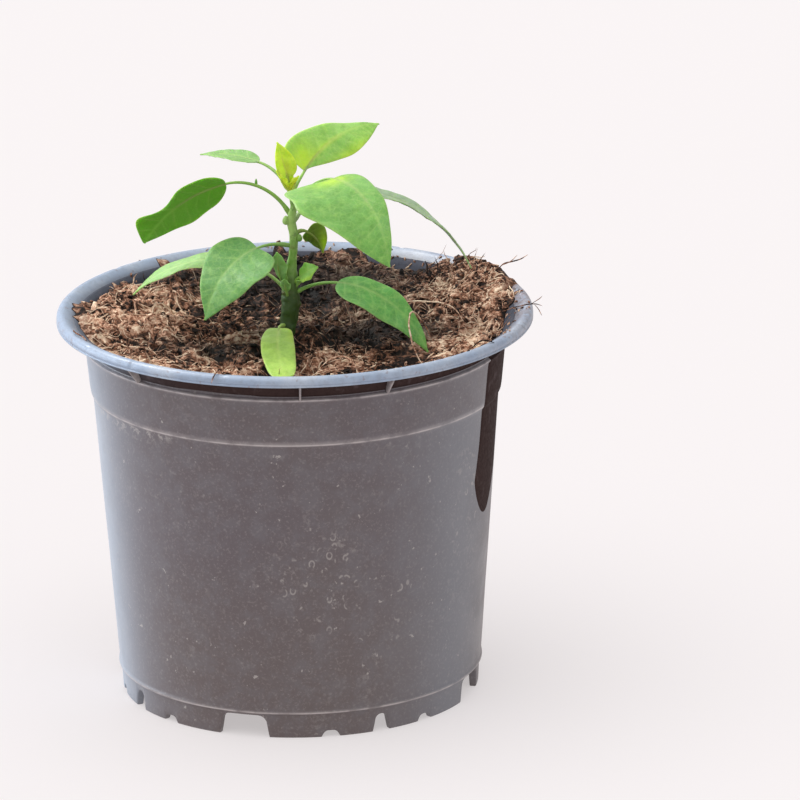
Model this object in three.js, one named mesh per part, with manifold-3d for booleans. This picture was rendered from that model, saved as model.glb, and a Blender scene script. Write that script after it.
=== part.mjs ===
import * as THREE from 'three';
import { mergeVertices } from 'three/addons/utils/BufferGeometryUtils.js';
import Module from 'manifold-3d';

// A young chilli pepper plant in a moulded nursery pot.
// Millimetres, +Z up, origin in the middle of the foot.

const clearance = 0.3;

const pot = {
  rimRadius: 65,
  crownRadius: 63.4,
  height: 107.1,
  lipBottom: 104.3,
  lipRound: 1.6,
  lipSweep: 0.75 * Math.PI,
  ledgeHeight: 98.5,
  stepHeight: 85.3,
  ringHeight: 7.4,
  footRadius: 48.9,
  footWidth: 1.8,
  floorBottom: 6.4,
  floorTop: 8.6,
  segments: 48,
  gussets: 15,
  gussetStart: -89,
  gussetWidth: 0.8,
};

// Openings between the feet repeat in every quarter of the foot, at these angles from its first middle.
const footOpenings = [
  { angle: 0, width: 13, height: 6.2, corner: 2.6 },
  { angle: 28, width: 4.6, height: 1.8, corner: 1.7 },
  { angle: 45, width: 3.9, height: 4.9, corner: 1.9 },
  { angle: 62, width: 4.6, height: 1.8, corner: 1.7 },
];
const footOpeningStart = -108.7;
const footCut = { flare: 0.8, below: 1, depth: 8, inset: 5 };
const drainHoles = { count: 8, radius: 3, ring: 40, depth: 8, sides: 12 };

// The soil rises towards the back, swells round the stem and is heaped over the rim at the back right.
const soil = {
  level: 98.3,
  slope: 0.11,
  reach: 65.6,
  rings: 10,
  segments: 48,
  swells: [
    { x: -2, y: 0, radius: 5, rise: 1.9 },
    { x: 15, y: 19, radius: 8, rise: -4.2 },
    { x: -18, y: 11, radius: 7, rise: -2.6 },
    { x: 34, y: 26, radius: 13, rise: 2.4 },
    { x: -53, y: -4, radius: 16, rise: 6.2 },
    { x: 51, y: -23, radius: 10, rise: 3.6 },
  ],
  heap: { angle: 24, spread: 19, radius: 59, width: 7, rise: 7.4 },
  ripples: [
    { along: 0.31, across: 0.14, rise: 0.45, shift: 0.4 },
    { along: -0.17, across: 0.37, rise: 0.4, shift: 1.9 },
    { along: 0.52, across: -0.41, rise: 0.3, shift: 4.1 },
  ],
};

const fibres = {
  count: 30,
  minLength: 10,
  maxLength: 24,
  radius: 0.45,
  steps: 3,
  sides: 3,
  lift: 1.5,
  sunk: 0.9,
  bow: 0.3,
};
const crumbs = { count: 22, minRadius: 1.1, maxRadius: 2.3, stretch: [1.3, 1, 0.8] };
const loose = { seed: 7, reach: 53 };
const mould = { gap: clearance + 0.05, margin: 6 };

// Spots that loose fibres and crumbs keep away from: the stem's foot and the leaves that hang low.
const keepClear = [
  { x: -2, y: 0, radius: 6 },
  { x: -4.5, y: -10, radius: 8 },
  { x: -4, y: -22, radius: 9 },
  { x: -3.5, y: -33, radius: 7 },
  { x: 31, y: -14, radius: 8 },
  { x: 38, y: -16, radius: 6 },
];

// The stem's axis from the tip of the tap root to the growing point, with its radius at each point.
const stemPath = [
  { at: [-0.5, 0.5, 62], radius: 0.7 },
  { at: [-1, 0.5, 80], radius: 1.5 },
  { at: [-2, 0, 95], radius: 2.5 },
  { at: [-2, 0, 100.5], radius: 2.5 },
  { at: [-1.5, 0, 105.5], radius: 2.5 },
  { at: [-1, 0, 110], radius: 2.5 },
  { at: [-1, 0, 115], radius: 2 },
  { at: [-0.5, 0, 120.5], radius: 1.5 },
  { at: [0, 0, 127], radius: 1.6 },
  { at: [-0.5, 0, 132], radius: 1.5 },
  { at: [0, 0, 136.5], radius: 1 },
  { at: [-1.5, 0, 142], radius: 0.7 },
];
const stemSides = 12;
const buds = [
  { at: [-2, -0.5, 132], size: [0.9, 0.7, 1.3] },
  { at: [-2, -1, 116], size: [0.9, 0.8, 1.1] },
  { at: [1.5, -0.5, 127], size: [0.8, 0.8, 1.1] },
];

// Each leaf grows from the stem's axis at a height, along its stalk and then its blade. Heading (0 to the
// right, 90 to the back) and pitch above level are in degrees at the stem, at the blade's base and at its
// tip. Roll leans the upper face towards the leaf's right hand, at the base and at the tip, and fold lifts
// both halves. Each half has its greatest width, the share of the length where it is widest, and how finely
// it tapers to the tip. Some halves have a fold or a shoulder of their own, or a dip, the share of the width
// that the edge is drawn in by halfway along.
const leaves = {
  leaf_upper_left: {
    height: 140.5,
    heading: [140, 150, 155],
    pitch: [56, 10, -10],
    roll: [0, 0],
    fold: 5,
    stalk: 12,
    length: 18,
    left: { width: 5, widest: 0.35, taper: 1.3 },
    right: { width: 5, widest: 0.4, taper: 1.2 },
    colour: 0x8fbf72,
  },
  leaf_left: {
    height: 132.5,
    heading: [160, 172, 180],
    pitch: [65, -14, -60],
    roll: [50, 75],
    fold: -5,
    stalk: 22,
    length: 29,
    left: { width: 6, widest: 0.5, taper: 0.25, dip: 0.6 },
    right: { width: 8, widest: 0.45, taper: 0.8 },
    colour: 0x4f8a2b,
  },
  leaf_top: {
    height: 139,
    heading: [40, 55, 40],
    pitch: [50, 35, -10],
    roll: [60, 20],
    fold: -5,
    stalk: 8,
    length: 32,
    left: { width: 8.5, widest: 0.1, taper: 1.2, shoulder: 0 },
    right: { width: 6.5, widest: 0.55, taper: 1.1 },
    colour: 0x86bb5e,
  },
  leaf_front_right: {
    height: 131,
    heading: [10, -52, -65],
    pitch: [85, 8, -76],
    roll: [0, 0],
    fold: 5,
    stalk: 21,
    length: 36,
    left: { width: 6, widest: 0.2, taper: 1 },
    right: { width: 19, widest: 0.3, taper: 0.8, fold: -6, shoulder: 0.4 },
    colour: 0x74b25c,
  },
  leaf_right_long: {
    height: 130.5,
    heading: [50, 20, 15],
    pitch: [48, -3, -66],
    roll: [0, 10],
    fold: 5,
    stalk: 18,
    length: 48,
    left: { width: 6, widest: 0.3, taper: 1.6 },
    right: { width: 6, widest: 0.3, taper: 1.6 },
    colour: 0x8cb488,
  },
  leaf_front_left: {
    height: 124.5,
    heading: [-165, -145, -115],
    pitch: [20, -10, -60],
    roll: [0, 0],
    fold: 5,
    stalk: 11,
    length: 27.5,
    left: { width: 11, widest: 0.3, taper: 0.9, fold: -10 },
    right: { width: 8.5, widest: 0.25, taper: 1.3, fold: 20 },
    colour: 0x74b26a,
  },
  leaf_back_left: {
    height: 110,
    heading: [145, 165, 180],
    pitch: [50, 14, -46],
    roll: [0, -10],
    fold: 0,
    stalk: 15,
    length: 35,
    left: { width: 5.5, widest: 0.35, taper: 1.2 },
    right: { width: 6, widest: 0.4, taper: 1.2 },
    colour: 0x86b46a,
  },
  leaf_low_right: {
    height: 110.5,
    heading: [-15, -20, -25],
    pitch: [38, 0, -67],
    roll: [15, 20],
    fold: 10,
    stalk: 14.5,
    length: 33,
    left: { width: 4.5, widest: 0.35, taper: 1.1 },
    right: { width: 8, widest: 0.35, taper: 1, fold: 0 },
    colour: 0x5fa352,
  },
  leaf_small_right: {
    height: 127.5,
    heading: [45, 30, 20],
    pitch: [35, -30, -80],
    roll: [-60, -60],
    fold: 10,
    stalk: 5,
    length: 8.5,
    left: { width: 3, widest: 0.4, taper: 0.9 },
    right: { width: 4, widest: 0.4, taper: 0.9 },
    colour: 0x6f7f24,
  },
  leaf_young: {
    height: 140.5,
    heading: [-80, -170, -210],
    pitch: [70, 80, 70],
    roll: [-90, -60],
    fold: 20,
    stalk: 4,
    length: 10,
    left: { width: 2.5, widest: 0.35, taper: 1 },
    right: { width: 3.5, widest: 0.35, taper: 1 },
    colour: 0xb9d431,
  },
  leaf_axil_right: {
    height: 112.5,
    heading: [-60, -20, 0],
    pitch: [60, 40, 20],
    roll: [35, 45],
    fold: 5,
    stalk: 5,
    length: 6,
    left: { width: 3, widest: 0.45, taper: 0.9 },
    right: { width: 3, widest: 0.45, taper: 0.9 },
    colour: 0x8cc84a,
  },
  leaf_axil_left: {
    height: 110.5,
    heading: [-140, -140, -90],
    pitch: [45, 70, 75],
    roll: [0, 0],
    fold: 10,
    stalk: 6,
    length: 9,
    left: { width: 2.5, widest: 0.45, taper: 0.9 },
    right: { width: 2, widest: 0.45, taper: 0.9 },
    colour: 0x7fbf4d,
  },
  seed_leaf: {
    height: 102,
    heading: [-130, -95, -80],
    pitch: [20, -3, -20],
    roll: [0, 0],
    fold: 0,
    stalk: 7,
    length: 28,
    left: { width: 4.5, widest: 0.4, taper: 0.35 },
    right: { width: 4.5, widest: 0.4, taper: 0.35 },
    colour: 0xa9cf5c,
  },
};
const blade = {
  thickness: 0.7,
  rowLength: 3,
  fewestRows: 6,
  mostRows: 10,
  columns: 4,
  narrowest: 0.3,
  shoulder: 0.2,
  dipSharpness: 6,
  wave: 0.35,
  waves: 2.5,
  waveShift: 0.4,
};
const stalkShape = {
  startRadius: 0.75,
  endRadius: 0.5,
  ribReach: 0.6,
  ribRadius: 0.3,
  ribDrop: 0.25,
  rows: 6,
  ribRows: 3,
  sides: 5,
};
const finishes = {
  pot: { color: 0x6c6466, roughness: 0.45 },
  soil: { color: 0x7a5645, roughness: 0.95 },
  stem: { color: 0x5b8a35, roughness: 0.6 },
  leaf: { roughness: 0.55 },
};
const routeSteps = 12;
const mergeTolerance = 1e-4;
const randomNumbers = { factor: 1664525, step: 1013904223, range: 2 ** 32 };

const wasm = await Module();
wasm.setup();

// A closed manifold solid from a three.js geometry, and a flat-shaded geometry back from the solid.
function solidOf(geometry) {
  const bare = geometry.clone();
  bare.deleteAttribute('normal');
  bare.deleteAttribute('uv');
  const merged = mergeVertices(bare, mergeTolerance);
  return new wasm.Manifold(new wasm.Mesh({
    numProp: 3,
    vertProperties: new Float32Array(merged.attributes.position.array),
    triVerts: new Uint32Array(merged.index.array),
  }));
}

function geometryOf(solid) {
  const mesh = solid.getMesh();
  const geometry = new THREE.BufferGeometry();
  geometry.setAttribute('position', new THREE.BufferAttribute(new Float32Array(mesh.vertProperties), 3));
  geometry.setIndex(new THREE.BufferAttribute(new Uint32Array(mesh.triVerts), 1));
  geometry.computeVertexNormals();
  return geometry;
}

function addMesh(group, name, solid, finish) {
  const material = new THREE.MeshStandardMaterial(finish);
  const mesh = new THREE.Mesh(geometryOf(solid), material);
  mesh.name = name;
  group.add(mesh);
}

// Numbers from 0 to 1, the same ones every time.
function makeDraw(seed) {
  let state = seed;
  return () => {
    state = (state * randomNumbers.factor + randomNumbers.step) % randomNumbers.range;
    return state / randomNumbers.range;
  };
}

// Joins closed rings of points, one after another, into a solid. From column foldAt on, the quads are split
// along their other diagonal, so that the upper and lower faces of a thin blade are split alike.
function skin(rings, foldAt = Infinity) {
  const count = rings[0].length;
  const positions = rings.flat().flatMap((point) => point.toArray());
  const indices = [];
  for (let i = 0; i < rings.length - 1; i += 1) {
    for (let j = 0; j < count; j += 1) {
      const a = i * count + j;
      const b = i * count + ((j + 1) % count);
      const c = b + count;
      const d = a + count;
      if (j < foldAt) indices.push(a, b, c, a, c, d);
      else indices.push(a, b, d, b, c, d);
    }
  }
  const last = (rings.length - 1) * count;
  for (let j = 1; j < count - 1; j += 1) {
    indices.push(0, j + 1, j);
    indices.push(last, last + j, last + j + 1);
  }
  const geometry = new THREE.BufferGeometry();
  geometry.setAttribute('position', new THREE.Float32BufferAttribute(positions, 3));
  geometry.setIndex(indices);
  return solidOf(geometry);
}

function ringAround(centre, along, up, radius, sides) {
  const across = new THREE.Vector3().crossVectors(along, up);
  return Array.from({ length: sides }, (_, k) => {
    const angle = (2 * Math.PI * k) / sides;
    return centre.clone()
      .addScaledVector(up, radius * Math.cos(angle))
      .addScaledVector(across, radius * Math.sin(angle));
  });
}

// The pot's inner face, from inside the lip down to the floor: distance from the axis and height.
const innerFace = [
  [pot.crownRadius - 2.8, pot.height - 1.5],
  [pot.crownRadius - 4.8, pot.lipBottom],
  [pot.rimRadius - 7.9, pot.lipBottom - 2.5],
  [pot.rimRadius - 9.1, pot.ledgeHeight - 0.9],
  [pot.rimRadius - 9.9, pot.stepHeight + 1],
  [pot.rimRadius - 10.9, pot.stepHeight - 1.4],
  [pot.footRadius - 0.2, pot.floorTop + 1.4],
  [pot.footRadius - 1.4, pot.floorTop],
];

// The pot's wall, from the underside of the floor out, up, over the lip and down the inner face.
function potProfile() {
  const path = new THREE.Path();
  path.moveTo(0, pot.floorBottom);
  path.lineTo(pot.footRadius - pot.footWidth - 0.3, pot.floorBottom);
  path.lineTo(pot.footRadius - pot.footWidth, 0);
  path.lineTo(pot.footRadius, 0);
  path.lineTo(pot.footRadius + 0.4, pot.ringHeight - 0.7);
  path.lineTo(pot.footRadius + 1.2, pot.ringHeight - 0.1);
  path.lineTo(pot.footRadius + 0.8, pot.ringHeight + 0.9);
  path.lineTo(pot.rimRadius - 9.6, pot.stepHeight - 0.9);
  path.quadraticCurveTo(pot.rimRadius - 9, pot.stepHeight, pot.rimRadius - 8.7, pot.stepHeight + 1.8);
  path.lineTo(pot.rimRadius - 7.7, pot.ledgeHeight - 0.9);
  path.lineTo(pot.rimRadius - 7, pot.ledgeHeight);
  path.lineTo(pot.rimRadius - 7.9, pot.ledgeHeight + 0.7);
  path.lineTo(pot.rimRadius - 6.7, pot.lipBottom - 1.7);
  path.lineTo(pot.rimRadius - 5.6, pot.lipBottom - 0.5);
  path.lineTo(pot.rimRadius - 3.8, pot.lipBottom);
  path.lineTo(pot.rimRadius - 3.4, pot.lipBottom + 0.6);
  path.lineTo(pot.rimRadius - 1.4, pot.lipBottom + 0.6);
  path.lineTo(pot.rimRadius - 1, pot.lipBottom);
  path.lineTo(pot.rimRadius, pot.lipBottom);
  path.lineTo(pot.rimRadius, pot.height - pot.lipRound);
  path.absarc(pot.crownRadius, pot.height - pot.lipRound, pot.lipRound, 0, pot.lipSweep, false);
  for (const [radius, height] of innerFace) path.lineTo(radius, height);
  path.lineTo(0, pot.floorTop);
  return path.getPoints(2);
}

// A flat outline with a level top and rounded upper corners, pushed out through the foot.
function footCutter(opening) {
  const half = opening.width / 2;
  const shape = new THREE.Shape();
  shape.moveTo(-half - footCut.flare, -footCut.below);
  shape.lineTo(half + footCut.flare, -footCut.below);
  shape.lineTo(half, opening.height - opening.corner);
  shape.quadraticCurveTo(half, opening.height, half - opening.corner, opening.height);
  shape.lineTo(-half + opening.corner, opening.height);
  shape.quadraticCurveTo(-half, opening.height, -half, opening.height - opening.corner);
  shape.closePath();
  const settings = { depth: footCut.depth, bevelEnabled: false, curveSegments: 2 };
  const geometry = new THREE.ExtrudeGeometry(shape, settings);
  geometry.rotateX(Math.PI / 2);
  geometry.rotateZ(Math.PI / 2);
  geometry.translate(pot.footRadius - footCut.inset, 0, 0);
  return geometry;
}

function gussetGeometry() {
  const shape = new THREE.Shape();
  shape.moveTo(pot.rimRadius - 8.2, pot.ledgeHeight + 0.1);
  shape.lineTo(pot.rimRadius - 6.8, pot.ledgeHeight + 0.1);
  shape.lineTo(pot.rimRadius - 2.2, pot.lipBottom + 0.1);
  shape.lineTo(pot.rimRadius - 2.2, pot.lipBottom + 0.8);
  shape.lineTo(pot.rimRadius - 4.4, pot.lipBottom + 0.4);
  shape.lineTo(pot.rimRadius - 7, pot.lipBottom - 1.4);
  shape.closePath();
  const geometry = new THREE.ExtrudeGeometry(shape, { depth: pot.gussetWidth, bevelEnabled: false });
  geometry.translate(0, 0, -pot.gussetWidth / 2);
  geometry.rotateX(Math.PI / 2);
  return geometry;
}

function makePot() {
  const shell = new THREE.LatheGeometry(potProfile(), pot.segments);
  shell.rotateX(Math.PI / 2);
  let solid = solidOf(shell);
  for (let k = 0; k < pot.gussets; k += 1) {
    const angle = pot.gussetStart + (360 * k) / pot.gussets;
    solid = solid.add(solidOf(gussetGeometry().rotateZ(THREE.MathUtils.degToRad(angle))));
  }
  for (let quarter = 0; quarter < 4; quarter += 1) {
    for (const opening of footOpenings) {
      const angle = footOpeningStart + 90 * quarter + opening.angle;
      solid = solid.subtract(solidOf(footCutter(opening).rotateZ(THREE.MathUtils.degToRad(angle))));
    }
  }
  for (let k = 0; k < drainHoles.count; k += 1) {
    const angle = THREE.MathUtils.degToRad(footOpeningStart + (360 * k) / drainHoles.count);
    const { radius, depth, sides } = drainHoles;
    const hole = new THREE.CylinderGeometry(radius, radius, depth, sides);
    hole.rotateX(Math.PI / 2);
    hole.translate(drainHoles.ring * Math.cos(angle), drainHoles.ring * Math.sin(angle), pot.floorTop);
    solid = solid.subtract(solidOf(hole));
  }
  return solid;
}

function soilHeight(x, y) {
  let height = soil.level + soil.slope * y;
  for (const swell of soil.swells) {
    const away = (x - swell.x) ** 2 + (y - swell.y) ** 2;
    height += swell.rise * Math.exp(-away / (2 * swell.radius ** 2));
  }
  for (const ripple of soil.ripples) {
    height += ripple.rise * Math.sin(ripple.along * x + ripple.across * y + ripple.shift);
  }
  const turn = (THREE.MathUtils.radToDeg(Math.atan2(y, x)) - soil.heap.angle) / soil.heap.spread;
  const outward = (Math.hypot(x, y) - soil.heap.radius) / soil.heap.width;
  return height + soil.heap.rise * Math.exp(-(turn ** 2) / 2 - (outward ** 2) / 2);
}

function soilBed() {
  const outline = [new THREE.Vector2(0, pot.floorTop), new THREE.Vector2(soil.reach, pot.floorTop)];
  for (let ring = soil.rings; ring >= 0; ring -= 1) {
    outline.push(new THREE.Vector2((soil.reach * ring) / soil.rings, soil.level));
  }
  const bed = new THREE.LatheGeometry(outline, soil.segments);
  bed.rotateX(Math.PI / 2);
  const position = bed.attributes.position;
  for (let i = 0; i < position.count; i += 1) {
    if (position.getZ(i) > soil.level / 2) {
      position.setZ(i, soilHeight(position.getX(i), position.getY(i)));
    }
  }
  return solidOf(bed);
}

// All the room from the pot's inner face outwards and over its lip, larger than the pot by the mould's gap.
function potMould() {
  const outside = pot.rimRadius + mould.margin;
  const lipHeight = pot.height - pot.lipRound;
  const path = new THREE.Path();
  path.moveTo(0, 0);
  path.lineTo(outside, 0);
  path.lineTo(outside, lipHeight);
  path.lineTo(pot.crownRadius + pot.lipRound + mould.gap, lipHeight);
  path.absarc(pot.crownRadius, lipHeight, pot.lipRound + mould.gap, 0, pot.lipSweep, false);
  for (const [radius, height] of innerFace) path.lineTo(radius - mould.gap, height + mould.gap);
  path.lineTo(0, pot.floorTop + mould.gap);
  const geometry = new THREE.LatheGeometry(path.getPoints(2), pot.segments);
  geometry.rotateX(Math.PI / 2);
  return solidOf(geometry);
}

function freeSpot(draw) {
  for (;;) {
    const angle = 2 * Math.PI * draw();
    const radius = loose.reach * Math.sqrt(draw());
    const x = radius * Math.cos(angle);
    const y = radius * Math.sin(angle);
    if (keepClear.every((spot) => Math.hypot(x - spot.x, y - spot.y) > spot.radius)) return [x, y];
  }
}

// A loose fibre: both ends sunk in the soil, its middle lifted a little and bowed to one side.
function fibreSolid(draw) {
  const [x, y] = freeSpot(draw);
  const heading = Math.PI * draw();
  const length = THREE.MathUtils.lerp(fibres.minLength, fibres.maxLength, draw());
  const bow = (draw() - 0.5) * fibres.bow * length;
  const lift = fibres.lift * draw();
  const points = [0, 1, 2, 3].map((k) => {
    const share = k / 3 - 0.5;
    const arch = 1 - 4 * share * share;
    const px = x + Math.cos(heading) * share * length - Math.sin(heading) * bow * arch;
    const py = y + Math.sin(heading) * share * length + Math.cos(heading) * bow * arch;
    return new THREE.Vector3(px, py, soilHeight(px, py) - fibres.sunk + (fibres.sunk + lift) * arch);
  });
  const curve = new THREE.CatmullRomCurve3(points, false, 'catmullrom', 0.5);
  const up = new THREE.Vector3(0, 0, 1);
  const rings = [];
  for (let i = 0; i <= fibres.steps; i += 1) {
    const along = curve.getTangent(i / fibres.steps);
    const square = up.clone().addScaledVector(along, -up.dot(along)).normalize();
    rings.push(ringAround(curve.getPoint(i / fibres.steps), along, square, fibres.radius, fibres.sides));
  }
  return skin(rings);
}

function crumbSolid(draw) {
  const [x, y] = freeSpot(draw);
  const size = THREE.MathUtils.lerp(crumbs.minRadius, crumbs.maxRadius, draw());
  const crumb = new THREE.OctahedronGeometry(size);
  crumb.rotateX(Math.PI * draw());
  crumb.rotateY(Math.PI * draw());
  crumb.scale(...crumbs.stretch);
  crumb.translate(x, y, soilHeight(x, y));
  return solidOf(crumb);
}

function makeSoil() {
  const draw = makeDraw(loose.seed);
  const pieces = [soilBed()];
  for (let k = 0; k < crumbs.count; k += 1) pieces.push(crumbSolid(draw));
  for (let k = 0; k < fibres.count; k += 1) pieces.push(fibreSolid(draw));
  const whole = wasm.Manifold.union(pieces).subtract(potMould()).subtract(stemSolid(clearance));
  // Slivers that the wall cuts loose are left out.
  return whole.decompose().reduce((largest, part) => (part.volume() > largest.volume() ? part : largest));
}

function stemSolid(extra) {
  const points = stemPath.map((station) => new THREE.Vector3(...station.at));
  const rings = points.map((point, i) => {
    const before = points[Math.max(i - 1, 0)];
    const after = points[Math.min(i + 1, points.length - 1)];
    const along = after.clone().sub(before).normalize();
    const side = new THREE.Vector3(1, 0, 0).addScaledVector(along, -along.x).normalize();
    const centre = point.clone();
    if (i === 0) centre.z -= extra;
    if (i === points.length - 1) centre.z += extra;
    return ringAround(centre, along, side, stemPath[i].radius + extra, stemSides);
  });
  return skin(rings);
}

function budSolid(bud, extra) {
  const geometry = new THREE.IcosahedronGeometry(1, 1);
  geometry.scale(...bud.size.map((size) => size + extra));
  geometry.translate(...bud.at);
  return solidOf(geometry);
}

function makeStem(extra = 0) {
  return wasm.Manifold.union([stemSolid(extra), ...buds.map((bud) => budSolid(bud, extra))]);
}

// The point on the stem's axis at a height.
function stemAxisAt(height) {
  const above = stemPath.findIndex((station) => station.at[2] > height);
  const from = new THREE.Vector3(...stemPath[above - 1].at);
  const to = new THREE.Vector3(...stemPath[above].at);
  return from.lerp(to, (height - from.z) / (to.z - from.z));
}

// The leaf's midline: short steps along the stalk and the blade, each in the direction that is due there.
function leafRoute(leaf) {
  const point = stemAxisAt(leaf.height);
  const points = [point.clone()];
  for (const [part, length] of [leaf.stalk, leaf.length].entries()) {
    for (let step = 0; step < routeSteps; step += 1) {
      const share = (step + 0.5) / routeSteps;
      const heading = THREE.MathUtils.lerp(leaf.heading[part], leaf.heading[part + 1], share);
      const pitch = THREE.MathUtils.lerp(leaf.pitch[part], leaf.pitch[part + 1], share);
      point.addScaledVector(directionOf(heading, pitch), length / routeSteps);
      points.push(point.clone());
    }
  }
  return new THREE.CatmullRomCurve3(points, false, 'catmullrom', 0.5);
}

function directionOf(heading, pitch) {
  const turn = THREE.MathUtils.degToRad(heading);
  const climb = THREE.MathUtils.degToRad(pitch);
  return new THREE.Vector3(
    Math.cos(climb) * Math.cos(turn),
    Math.cos(climb) * Math.sin(turn),
    Math.sin(climb),
  );
}

// Half the blade's width at a share of its length: nothing at both ends, the full width where it is widest.
function halfWidth(half, share) {
  const swell = (half.taper * half.widest) / (1 - half.widest);
  const rise = (share / half.widest) ** swell;
  const fall = ((1 - share) / (1 - half.widest)) ** half.taper;
  const drawnIn = 1 - (half.dip ?? 0) * Math.sin(Math.PI * share) ** blade.dipSharpness;
  return Math.max(half.width * rise * fall * drawnIn, blade.narrowest);
}

function leafSolid(leaf) {
  const route = leafRoute(leaf);
  const bladeStart = leaf.stalk / (leaf.stalk + leaf.length);
  const halves = [leaf.left, leaf.right];
  const rowsWanted = Math.round(leaf.length / blade.rowLength);
  const rows = THREE.MathUtils.clamp(rowsWanted, blade.fewestRows, blade.mostRows);

  const frameAt = (share) => {
    const along = route.getTangentAt(share);
    const reach = Math.max(0, (share - bladeStart) / (1 - bladeStart));
    const level = new THREE.Vector3(along.y, -along.x, 0).normalize();
    const roll = THREE.MathUtils.degToRad(THREE.MathUtils.lerp(leaf.roll[0], leaf.roll[1], reach));
    const up = new THREE.Vector3().crossVectors(level, along).multiplyScalar(Math.cos(roll));
    up.addScaledVector(level, Math.sin(roll));
    return { at: route.getPointAt(share), along, up, across: new THREE.Vector3().crossVectors(along, up) };
  };

  // Rows lie closer together towards the base and the tip, where the outline turns.
  const rings = [];
  for (let row = 0; row <= rows; row += 1) {
    const reach = (1 - Math.cos((Math.PI * row) / rows)) / 2;
    const frame = frameAt(bladeStart + (1 - bladeStart) * reach);
    const upper = [];
    const lower = [];
    for (let column = 0; column <= blade.columns; column += 1) {
      const out = (2 * column) / blade.columns - 1;
      const side = out < 0 ? 0 : 1;
      const half = halves[side];
      const width = halfWidth(half, reach);
      const fold = THREE.MathUtils.degToRad(half.fold ?? leaf.fold);
      const phase = 2 * Math.PI * (blade.waves * reach + blade.waveShift * side);
      const wave = blade.wave * out * out * Math.sin(phase) * Math.sin(Math.PI * reach);
      const back = out * out * width * (half.shoulder ?? blade.shoulder) * (1 - reach) ** 2;
      const point = frame.at.clone()
        .addScaledVector(frame.across, out * width * Math.cos(fold))
        .addScaledVector(frame.up, Math.abs(out) * width * Math.sin(fold) + wave)
        .addScaledVector(frame.along, -back);
      upper.push(point.clone().addScaledVector(frame.up, blade.thickness / 2));
      lower.unshift(point.clone().addScaledVector(frame.up, -blade.thickness / 2));
    }
    rings.push([...upper, ...lower]);
  }
  return skin(rings, blade.columns + 1).add(stalkSolid(frameAt, bladeStart));
}

// The stalk runs on as a rib under the blade and ends inside it.
function stalkSolid(frameAt, bladeStart) {
  const ribEnd = bladeStart + (1 - bladeStart) * stalkShape.ribReach;
  const rings = [];
  for (let row = 0; row <= stalkShape.rows + stalkShape.ribRows; row += 1) {
    const free = Math.min(1, row / stalkShape.rows);
    const onRib = Math.max(0, row - stalkShape.rows) / stalkShape.ribRows;
    const frame = frameAt(bladeStart * free + (ribEnd - bladeStart) * onRib);
    const thinning = onRib * (stalkShape.endRadius - stalkShape.ribRadius);
    const radius = THREE.MathUtils.lerp(stalkShape.startRadius, stalkShape.endRadius, free) - thinning;
    const drop = stalkShape.ribDrop * Math.min(1, onRib * stalkShape.ribRows);
    const centre = frame.at.addScaledVector(frame.up, -drop);
    rings.push(ringAround(centre, frame.along, frame.up, radius, stalkShape.sides));
  }
  return skin(rings);
}

const plant = new THREE.Group();
addMesh(plant, 'pot', makePot(), finishes.pot);
addMesh(plant, 'soil', makeSoil(), finishes.soil);
addMesh(plant, 'stem', makeStem(), finishes.stem);
const stemRoom = makeStem(clearance);
for (const [name, leaf] of Object.entries(leaves)) {
  const finish = { ...finishes.leaf, color: leaf.colour };
  addMesh(plant, name, leafSolid(leaf).subtract(stemRoom), finish);
}

export default plant;
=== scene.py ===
import math

import bmesh
import bpy
import numpy as np
from mathutils import Matrix, Vector


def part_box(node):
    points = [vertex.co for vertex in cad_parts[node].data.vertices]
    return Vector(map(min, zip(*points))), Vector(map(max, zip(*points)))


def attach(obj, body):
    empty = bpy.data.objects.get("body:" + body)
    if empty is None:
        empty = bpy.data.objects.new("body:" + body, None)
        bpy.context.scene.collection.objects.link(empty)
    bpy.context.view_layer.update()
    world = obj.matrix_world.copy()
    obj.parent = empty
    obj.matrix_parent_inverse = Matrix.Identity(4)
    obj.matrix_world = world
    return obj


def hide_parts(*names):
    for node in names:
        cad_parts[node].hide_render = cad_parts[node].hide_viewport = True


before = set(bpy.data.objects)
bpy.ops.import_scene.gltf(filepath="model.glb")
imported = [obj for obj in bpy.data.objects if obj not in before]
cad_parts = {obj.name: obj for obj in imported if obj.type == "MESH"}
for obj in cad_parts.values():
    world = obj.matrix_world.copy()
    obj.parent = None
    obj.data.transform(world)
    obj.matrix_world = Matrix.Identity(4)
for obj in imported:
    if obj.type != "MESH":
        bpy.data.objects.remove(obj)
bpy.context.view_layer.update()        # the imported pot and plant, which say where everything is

mm = 0.001
weldGap = 2e-6      # metres
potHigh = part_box("pot")[1]      # the pot's highest corner
print("frame loaded:", len(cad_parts), "nodes")


def addObject(name, data):
    # Puts a mesh, a lamp or a camera into the scene.
    made = bpy.data.objects.new(name, data)
    bpy.context.scene.collection.objects.link(made)
    return made


# The camera.

cameraSetup = {
    "elevation": 17.9,      # degrees above level
    "roll": 0.97,           # degrees, the right side of the view sits higher
    "distance": 2.5,        # metres from the aim
    "lens": 410.5,
    "aimHeight": 0.06,
    "aimRight": 0.0284,     # where the middle of the view lies, beside and above the aim
    "aimUp": 0.0192,
}


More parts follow.
